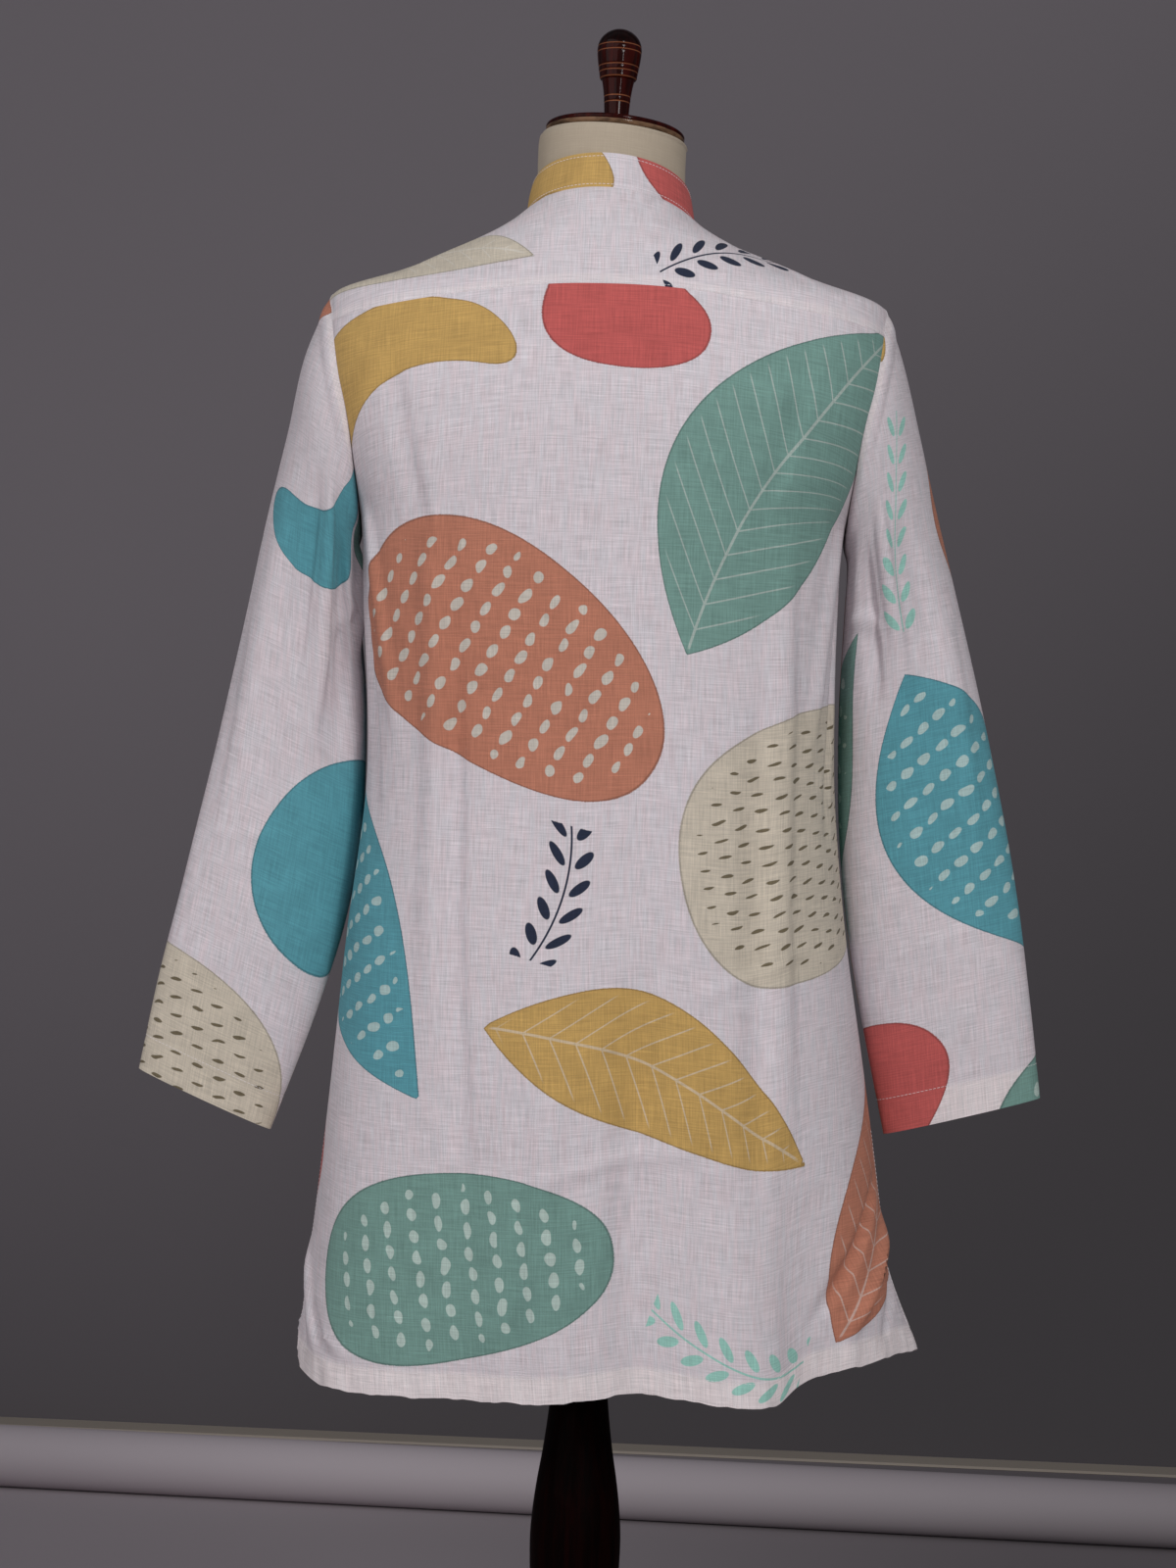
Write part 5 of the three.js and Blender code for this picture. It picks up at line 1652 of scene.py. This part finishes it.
def wood(name, colour, ring_colour, rings, gloss, band_top, painted_shade_from):
    """Dark varnished turned wood, its grain up the piece, with lighter lines in its grooves."""
    f = Finish(name)
    place = f.split(f.attribute("lathe", "Vector"))
    z = place[2]
    grain = f.grain(place, WOOD_GRAIN_SCALES, 4.0, 0.6)
    cloud = f.grain(place, WOOD_CLOUD_SCALES)
    base = f.blend(f.step(grain, 0.35, 0.68), rgba(colour, WOOD_DEEP), rgba(colour))
    base = f.scaled(base, 0.55 + cloud * 0.90)
    # Painted shade: the top of the piece, from this height up, is darkened as shade
    if painted_shade_from is not None:
        base = f.scaled(base, 1.0 - f.step(z, painted_shade_from - 0.004, painted_shade_from + 0.003) * 0.8)
    line = None
    for ring in rings:
        mask = f.step(f.maths("ABSOLUTE", z - ring), RING_HALF, RING_HALF * 0.45)
        line = mask if line is None else f.maths("MAXIMUM", line, mask)
    if line is not None:
        base = f.blend(line * (0.12 + cloud * 0.75), base, rgba(ring_colour))
    if band_top is not None:
        patches = f.step(f.grain(place, BAND_PATCH_SCALES, 4.0, 0.65), 0.34, 0.66)
        mottled = f.blend(patches, rgba(BAND_COLOUR, WOOD_DEEP), rgba(BAND_COLOUR))
        base = f.blend(f.step(z, band_top + 0.0003, band_top - 0.0003), base, mottled)
    wear = f.grain(place, WOOD_WEAR_SCALES)
    return f.surface(
        {
            "Base Color": base,
            "Roughness": 0.50 + wear * 0.08,
            "Coat Weight": gloss,
            "Coat Roughness": 0.045,
            "Coat IOR": 1.24,
            "Specular IOR Level": 0.02,
            "Normal": f.bump(grain, WOOD_GRAIN_DEPTH, 0.25),
        }
    )


PEARL_SCALE = 260.0
TWIST_SCALE = 2600.0
ROOM_SCALE = 1.3


def button_finish():
    """Pearly pale plastic."""
    f = Finish("button_pearl")
    swirl = f.noise(f.scaled(f.object_place(), PEARL_SCALE), 3.0)
    colour = f.blend(swirl, (0.66, 0.62, 0.55, 1.0), (0.82, 0.80, 0.76, 1.0))
    return f.surface({"Base Color": colour, "Roughness": 0.22 + swirl * 0.12, "Coat Weight": 0.3})


def thread_finish(name, colour):
    """Twisted sewing thread."""
    f = Finish(name)
    twist = f.noise(f.scaled(f.object_place(), TWIST_SCALE), 1.0)
    base = f.scaled(colour, 0.80 + twist * 0.40)
    return f.surface({"Base Color": base, "Roughness": 0.6, "Normal": f.bump(twist, 0.0001, 0.5)})


def matt(name, colour, spread, painted_falloff=None):
    """A plain matt surface with a little unevenness, for the room.

    The last argument paints the room's light falling off into the colour, darker down and to the wearer's
    right: how much x counts beside z, where it starts and ends, and what share is left.
    """
    f = Finish(name)
    place = f.object_place()
    tone = f.noise(f.scaled(place, ROOM_SCALE)) - 0.5
    light = 1.0 + tone * spread
    # Painted light: the colour darkens down and to the wearer's right as the room's light falls off
    if painted_falloff:
        x, _, z = f.split(place)
        tilt, start, end, low = painted_falloff
        light = light * (low + f.step(z + x * tilt, start, end) * (1.0 - low))
    return f.surface({"Base Color": f.scaled(colour, light), "Roughness": 0.75})


# The object's pieces, as operators

made = {}


def settings():
    return bpy.context.scene.kurta


def fit_out(piece, finish, slot, *nodes):
    """Gives a piece its finish and the body it rides on, and hides the solids it stands for."""
    piece.data.materials.clear()
    piece.data.materials.append(finish)
    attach(piece, "root")
    if nodes:
        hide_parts(*nodes)


def colour_setting(name, description, default):
    return bpy.props.FloatVectorProperty(
        name=name, description=description, subtype="COLOR", default=default
    )


class KurtaSettings(bpy.types.PropertyGroup):
    """The garment's colours and sewing."""

    ground: colour_setting("Linen", "Colour of the unprinted linen", (0.705, 0.640, 0.668))
    thread: colour_setting("Thread", "Colour of the sewing thread", (0.78, 0.74, 0.76))
    stitch_pitch: bpy.props.FloatProperty(
        name="Stitch",
        description="Length from one stitch to the next",
        unit="LENGTH",
        default=0.0032,
        min=0.001,
    )


class FormSettings(bpy.types.PropertyGroup):
    """The dress form's colours."""

    cover: colour_setting("Cover", "Colour of the form's cloth", (0.420, 0.350, 0.268))
    wood: colour_setting("Wood", "Colour of the varnished wood", (0.036, 0.0024, 0.0012))
    groove: colour_setting("Grooves", "Colour of the bare wood in the grooves", (0.340, 0.120, 0.055))


class StageSettings(bpy.types.PropertyGroup):
    """The room and its light."""

    wall: colour_setting("Wall", "Colour of the backdrop", (0.202, 0.180, 0.196))
    floor: colour_setting("Floor", "Colour of the floor", (0.46, 0.405, 0.43))
    key: bpy.props.FloatProperty(
        name="Key", description="Strength of the main light", unit="POWER", default=55.0, min=0.0
    )
    fill: bpy.props.FloatProperty(
        name="Fill", description="Strength of the side light", unit="POWER", default=70.0, min=0.0
    )


def make_cloth(cloth, node, flat, area, rests_on=("form_torso",), held="hung"):
    piece = cloth.build()
    fit_out(piece, made["linen"], "linen", node)
    list(rests_on)
    made[node] = cloth
    return piece


# The cut of each piece, width and length with its turnings, and its area
CUTS_FLAT = {
    "back": ((0.645, 0.880), 0.478),
    "front": ((0.630, 0.935), 0.500),
    "yoke": ((0.490, 0.240), 0.072),
    "sleeve_left": ((0.515, 0.675), 0.230),
    "sleeve_right": ((0.515, 0.680), 0.234),
    "collar": ((0.432, 0.046), 0.0150),
    "placket": ((0.050, 0.302), 0.0110),
}


class KURTA_OT_panels(bpy.types.Operator):
    """Makes the back and the front"""

    bl_idname = "kurta.panels"
    bl_label = "Back and front"

    def execute(self, context):
        made["linen"] = linen("printed_linen", settings().ground)
        for side in ("back", "front"):
            make_cloth(panel(side), side, *CUTS_FLAT[side])
        return {"FINISHED"}


class KURTA_OT_yoke(bpy.types.Operator):
    """Makes the yoke over both shoulders"""

    bl_idname = "kurta.yoke"
    bl_label = "Yoke"

    def execute(self, context):
        make_cloth(yoke(), "yoke", *CUTS_FLAT["yoke"])
        return {"FINISHED"}


class KURTA_OT_sleeves(bpy.types.Operator):
    """Makes both sleeves"""

    bl_idname = "kurta.sleeves"
    bl_label = "Sleeves"

    def execute(self, context):
        for side in ("left", "right"):
            node = f"sleeve_{side}"
            make_cloth(sleeve(side), node, *CUTS_FLAT[node], rests_on=("yoke",))
        return {"FINISHED"}


class KURTA_OT_collar(bpy.types.Operator):
    """Makes the stand-up collar"""

    bl_idname = "kurta.collar"
    bl_label = "Collar"

    def execute(self, context):
        make_cloth(collar(), "collar", *CUTS_FLAT["collar"])
        return {"FINISHED"}


class KURTA_OT_placket(bpy.types.Operator):
    """Makes the placket and its buttons"""

    bl_idname = "kurta.placket"
    bl_label = "Placket and buttons"

    def execute(self, context):
        cloth = placket(made["front"])
        make_cloth(cloth, "placket", *CUTS_FLAT["placket"], rests_on=("front",))
        pearl = button_finish()
        thread = thread_finish("button_thread", settings().thread)
        for number in range(1, BUTTON_COUNT + 1):
            fit_out(button(number, cloth), pearl, "button", f"button_{number}")
            fit_out(button_thread(number, cloth), thread, "linen")
        return {"FINISHED"}


class KURTA_OT_stitches(bpy.types.Operator):
    """Sews the hems, the slits, the cuffs, the yoke, the collar and the placket"""

    bl_idname = "kurta.stitches"
    bl_label = "Stitches"

    def execute(self, context):
        thread = thread_finish("sewing_thread", settings().thread)
        rows = {side: panel_stitches(made[side]) for side in ("back", "front")}
        for node, distance, sides in (
            ("yoke", YOKE_STITCH, ("bottom",)),
            ("sleeve_left", CUFF_HEM, ("bottom",)),
            ("sleeve_right", CUFF_HEM, ("bottom",)),
            ("collar", COLLAR_STITCH, ("bottom", "top")),
            ("placket", PLACKET_STITCH, ("start", "end", "bottom")),
        ):
            rows[node] = [level_line(made[node], distance, side) for side in sides]
        for node, lines in rows.items():
            fit_out(stitch_piece(f"stitches_{node}", lines), thread, "linen")
        return {"FINISHED"}


class KURTA_OT_form(bpy.types.Operator):
    """Makes the padded form that wears the kurta"""

    bl_idname = "kurta.form"
    bl_label = "Dress form"

    def execute(self, context):
        cover = linen("form_cover", context.scene.kurta_form.cover, patterned=False, coarse=0.3)
        fit_out(form_torso(), cover, "form_cover", "form_torso")
        return {"FINISHED"}


class KURTA_OT_stand(bpy.types.Operator):
    """Turns the neck cap, the finial, the column and the base"""

    bl_idname = "kurta.stand"
    bl_label = "Turned wood"

    def execute(self, context):
        look = context.scene.kurta_form
        cap_place = neck_place(SEAM_GAP, float(FORM_NECK["tip"][-1]))
        finial_place = neck_place(CAP_HEIGHT + FINIAL_SEAT, FINIAL_TIP)
        column_place = Matrix.Translation((0, 0, COLUMN_FOOT))
        for node, curve, rings, place, band, painted_shade_from in (
            ("neck_cap", np.array(CAP_PROFILE), (), cap_place, CAP_BAND_TOP, None),
            ("finial", smooth_profile(FINIAL_CURVE, 3), FINIAL_RINGS, finial_place, None, FINIAL_PAINTED_SHADE_FROM),
            ("stand_column", smooth_profile(COLUMN_CURVE, 4), COLUMN_RINGS, column_place, None, None),
            ("stand_base", np.array(BASE_CURVE), BASE_RINGS, None, None, None),
        ):
            profile = with_rings(curve, rings) if rings else curve
            piece = turned(f"wood_{node}", profile, LATHE_SIDES, place)
            shade = 1.0 if node in GLOSS else DULL_SHADE
            gloss = GLOSS.get(node, DULL_GLOSS)
            colour = [part * shade for part in look.wood]
            finish = wood(f"varnish_{node}", colour, look.groove, rings, gloss, band, painted_shade_from)
            fit_out(piece, finish, "wood", node)
        return {"FINISHED"}


# The room, the light and the camera

CAMERA_PLACE = (0.003, 3.6, 1.0145)
CAMERA_ROLL = math.radians(1.57)
CAMERA_LENS = 106.1
CAMERA_SHIFT = -0.0025
WALL_DISTANCE = 3.5
WALL_TURN = math.radians(6.3)
ROLL_TURN = math.radians(9.2)
ROLL_PLACE = 2.80
ROLL_RADIUS = 0.0432
ROLL_LENGTH = 4.0
ROOM_HALF = 7.0
ROOM_HEIGHT = 6.0
FLOOR_DROP = 0.0005
SKIRTING_DEPTH = 0.08
SKIRTING_HEIGHT = 0.004
SKIRTING_COLOUR = (0.40, 0.345, 0.29)
ROLL_SHADE = 1.12
# How the room's light falls off, painted into the floor, wall and roll colours: the tilt of the fall, its
# start and end, and the share left
FLOOR_PAINTED_FALLOFF = (1.0, -0.8, 0.8, 0.42)
WALL_PAINTED_FALLOFF = (0.80, -0.3, 2.2, 0.40)
ROLL_PAINTED_FALLOFF = (1.0, -1.6, 0.9, 0.50)
WORLD_COLOUR = (0.55, 0.56, 0.60, 1.0)
WORLD_STRENGTH = 0.38
# A narrow lamp beside the main one draws the long highlight on the finial
STRIP_SHARE = 0.33
SENSOR_WIDTH = 36.0


def softbox(name, place, aim, size, power):
    light = bpy.data.lights.new(name, "AREA")
    light.shape = "RECTANGLE"
    light.size, light.size_y = size
    light.energy = power
    lamp = bpy.data.objects.new(name, light)
    lamp.location = place
    lamp.rotation_euler = (Vector(aim) - Vector(place)).to_track_quat("-Z", "Y").to_euler()
    bpy.context.scene.collection.objects.link(lamp)


def room_piece(name, finish):
    """Finishes the new piece as a part of the room."""
    piece = settle(name)
    piece.data.materials.append(finish)
    piece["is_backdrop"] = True
    deselect()


class KURTA_OT_stage(bpy.types.Operator):
    """Sets the floor, the backdrop, the lights and the camera"""

    bl_idname = "kurta.stage"
    bl_label = "Stage"

    def execute(self, context):
        look = context.scene.kurta_stage
        deselect()
        bpy.ops.mesh.primitive_plane_add(size=2 * ROOM_HALF, location=(0, 0, -FLOOR_DROP))
        room_piece("floor", matt("floor_paint", look.floor, 0.06, FLOOR_PAINTED_FALLOFF))
        place = (0, -WALL_DISTANCE, ROOM_HEIGHT / 2)
        turn = (math.pi / 2, 0, -WALL_TURN)
        bpy.ops.mesh.primitive_plane_add(size=2 * ROOM_HALF, location=place, rotation=turn)
        room_piece("backdrop", matt("backdrop_paint", look.wall, 0.05, WALL_PAINTED_FALLOFF))
        place = (0, SKIRTING_DEPTH / 2 - WALL_DISTANCE, SKIRTING_HEIGHT / 2)
        bpy.ops.mesh.primitive_cube_add(size=1, location=place, rotation=(0, 0, -WALL_TURN))
        size = (2 * ROOM_HALF, SKIRTING_DEPTH, SKIRTING_HEIGHT)
        bpy.ops.transform.resize(value=size, orient_type="LOCAL")
        room_piece("skirting", matt("skirting_paint", SKIRTING_COLOUR, 0.3))
        # A roll of grey backdrop paper lies along the foot of the wall
        bpy.ops.mesh.primitive_cylinder_add(
            vertices=64,
            radius=ROLL_RADIUS,
            depth=ROLL_LENGTH,
            location=(0, -ROLL_PLACE, ROLL_RADIUS),
            rotation=(0, math.pi / 2, -ROLL_TURN),
        )
        bpy.ops.object.shade_smooth_by_angle(angle=TURNED_SHARP)
        paper = [part * ROLL_SHADE for part in look.floor]
        room_piece("paper_roll", matt("roll_paper", paper, 0.06, ROLL_PAINTED_FALLOFF))
        softbox("key", (-1.3, 3.3, 2.8), (0, 0, 1.15), (0.9, 1.3), look.key)
        softbox("strip", (-1.25, 3.2, 2.00), (0, 0, 1.55), (0.14, 1.7), look.key * STRIP_SHARE)
        softbox("fill", (2.3, 2.5, 2.7), (0, 0, 1.2), (4.6, 4.2), look.fill)
        world = bpy.data.worlds.new("room")
        world.use_nodes = True
        background = world.node_tree.nodes["Background"]
        background.inputs["Color"].default_value = WORLD_COLOUR
        background.inputs["Strength"].default_value = WORLD_STRENGTH
        context.scene.world = world
        context.scene.view_settings.view_transform = "Standard"
        lens = bpy.data.cameras.new("camera")
        lens.lens = CAMERA_LENS
        lens.sensor_width = SENSOR_WIDTH
        lens.shift_x = CAMERA_SHIFT
        camera = bpy.data.objects.new("camera", lens)
        turn = Matrix.Rotation(math.pi, 4, "Z") @ Matrix.Rotation(math.pi / 2, 4, "X")
        turn = turn @ Matrix.Rotation(CAMERA_ROLL, 4, "Z")
        camera.matrix_world = Matrix.Translation(CAMERA_PLACE) @ turn
        context.scene.collection.objects.link(camera)
        context.scene.camera = camera
        return {"FINISHED"}


class KURTA_PT_panel(bpy.types.Panel):
    """Lists the pieces and their settings"""

    bl_label = "Kurta"
    bl_space_type = "VIEW_3D"
    bl_region_type = "UI"
    bl_category = "Kurta"

    def draw(self, context):
        for group in (context.scene.kurta, context.scene.kurta_form, context.scene.kurta_stage):
            for name in group.__annotations__:
                self.layout.prop(group, name)
        for operator in OPERATORS:
            self.layout.operator(operator.bl_idname)


OPERATORS = (
    KURTA_OT_stage,
    KURTA_OT_panels,
    KURTA_OT_yoke,
    KURTA_OT_sleeves,
    KURTA_OT_collar,
    KURTA_OT_placket,
    KURTA_OT_stitches,
    KURTA_OT_form,
    KURTA_OT_stand,
)
GROUPS = {"kurta": KurtaSettings, "kurta_form": FormSettings, "kurta_stage": StageSettings}


def register():
    for owned in (*GROUPS.values(), *OPERATORS, KURTA_PT_panel):
        bpy.utils.register_class(owned)
    for name, group in GROUPS.items():
        setattr(bpy.types.Scene, name, bpy.props.PointerProperty(type=group))


def unregister():
    for name in GROUPS:
        delattr(bpy.types.Scene, name)
    for owned in reversed((*GROUPS.values(), *OPERATORS, KURTA_PT_panel)):
        bpy.utils.unregister_class(owned)


def main():
    register()
    bpy.ops.kurta.stage()
    bpy.ops.kurta.panels()
    bpy.ops.kurta.yoke()
    bpy.ops.kurta.sleeves()
    bpy.ops.kurta.collar()
    bpy.ops.kurta.placket()
    bpy.ops.kurta.stitches()
    bpy.ops.kurta.form()
    bpy.ops.kurta.stand()
    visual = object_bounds()
    boxes = {"cad": CAD_BOX, "visual": visual}
    {name: [list(map(float, corner)) for corner in box] for name, box in boxes.items()}


if __name__ == "__main__":
    main()
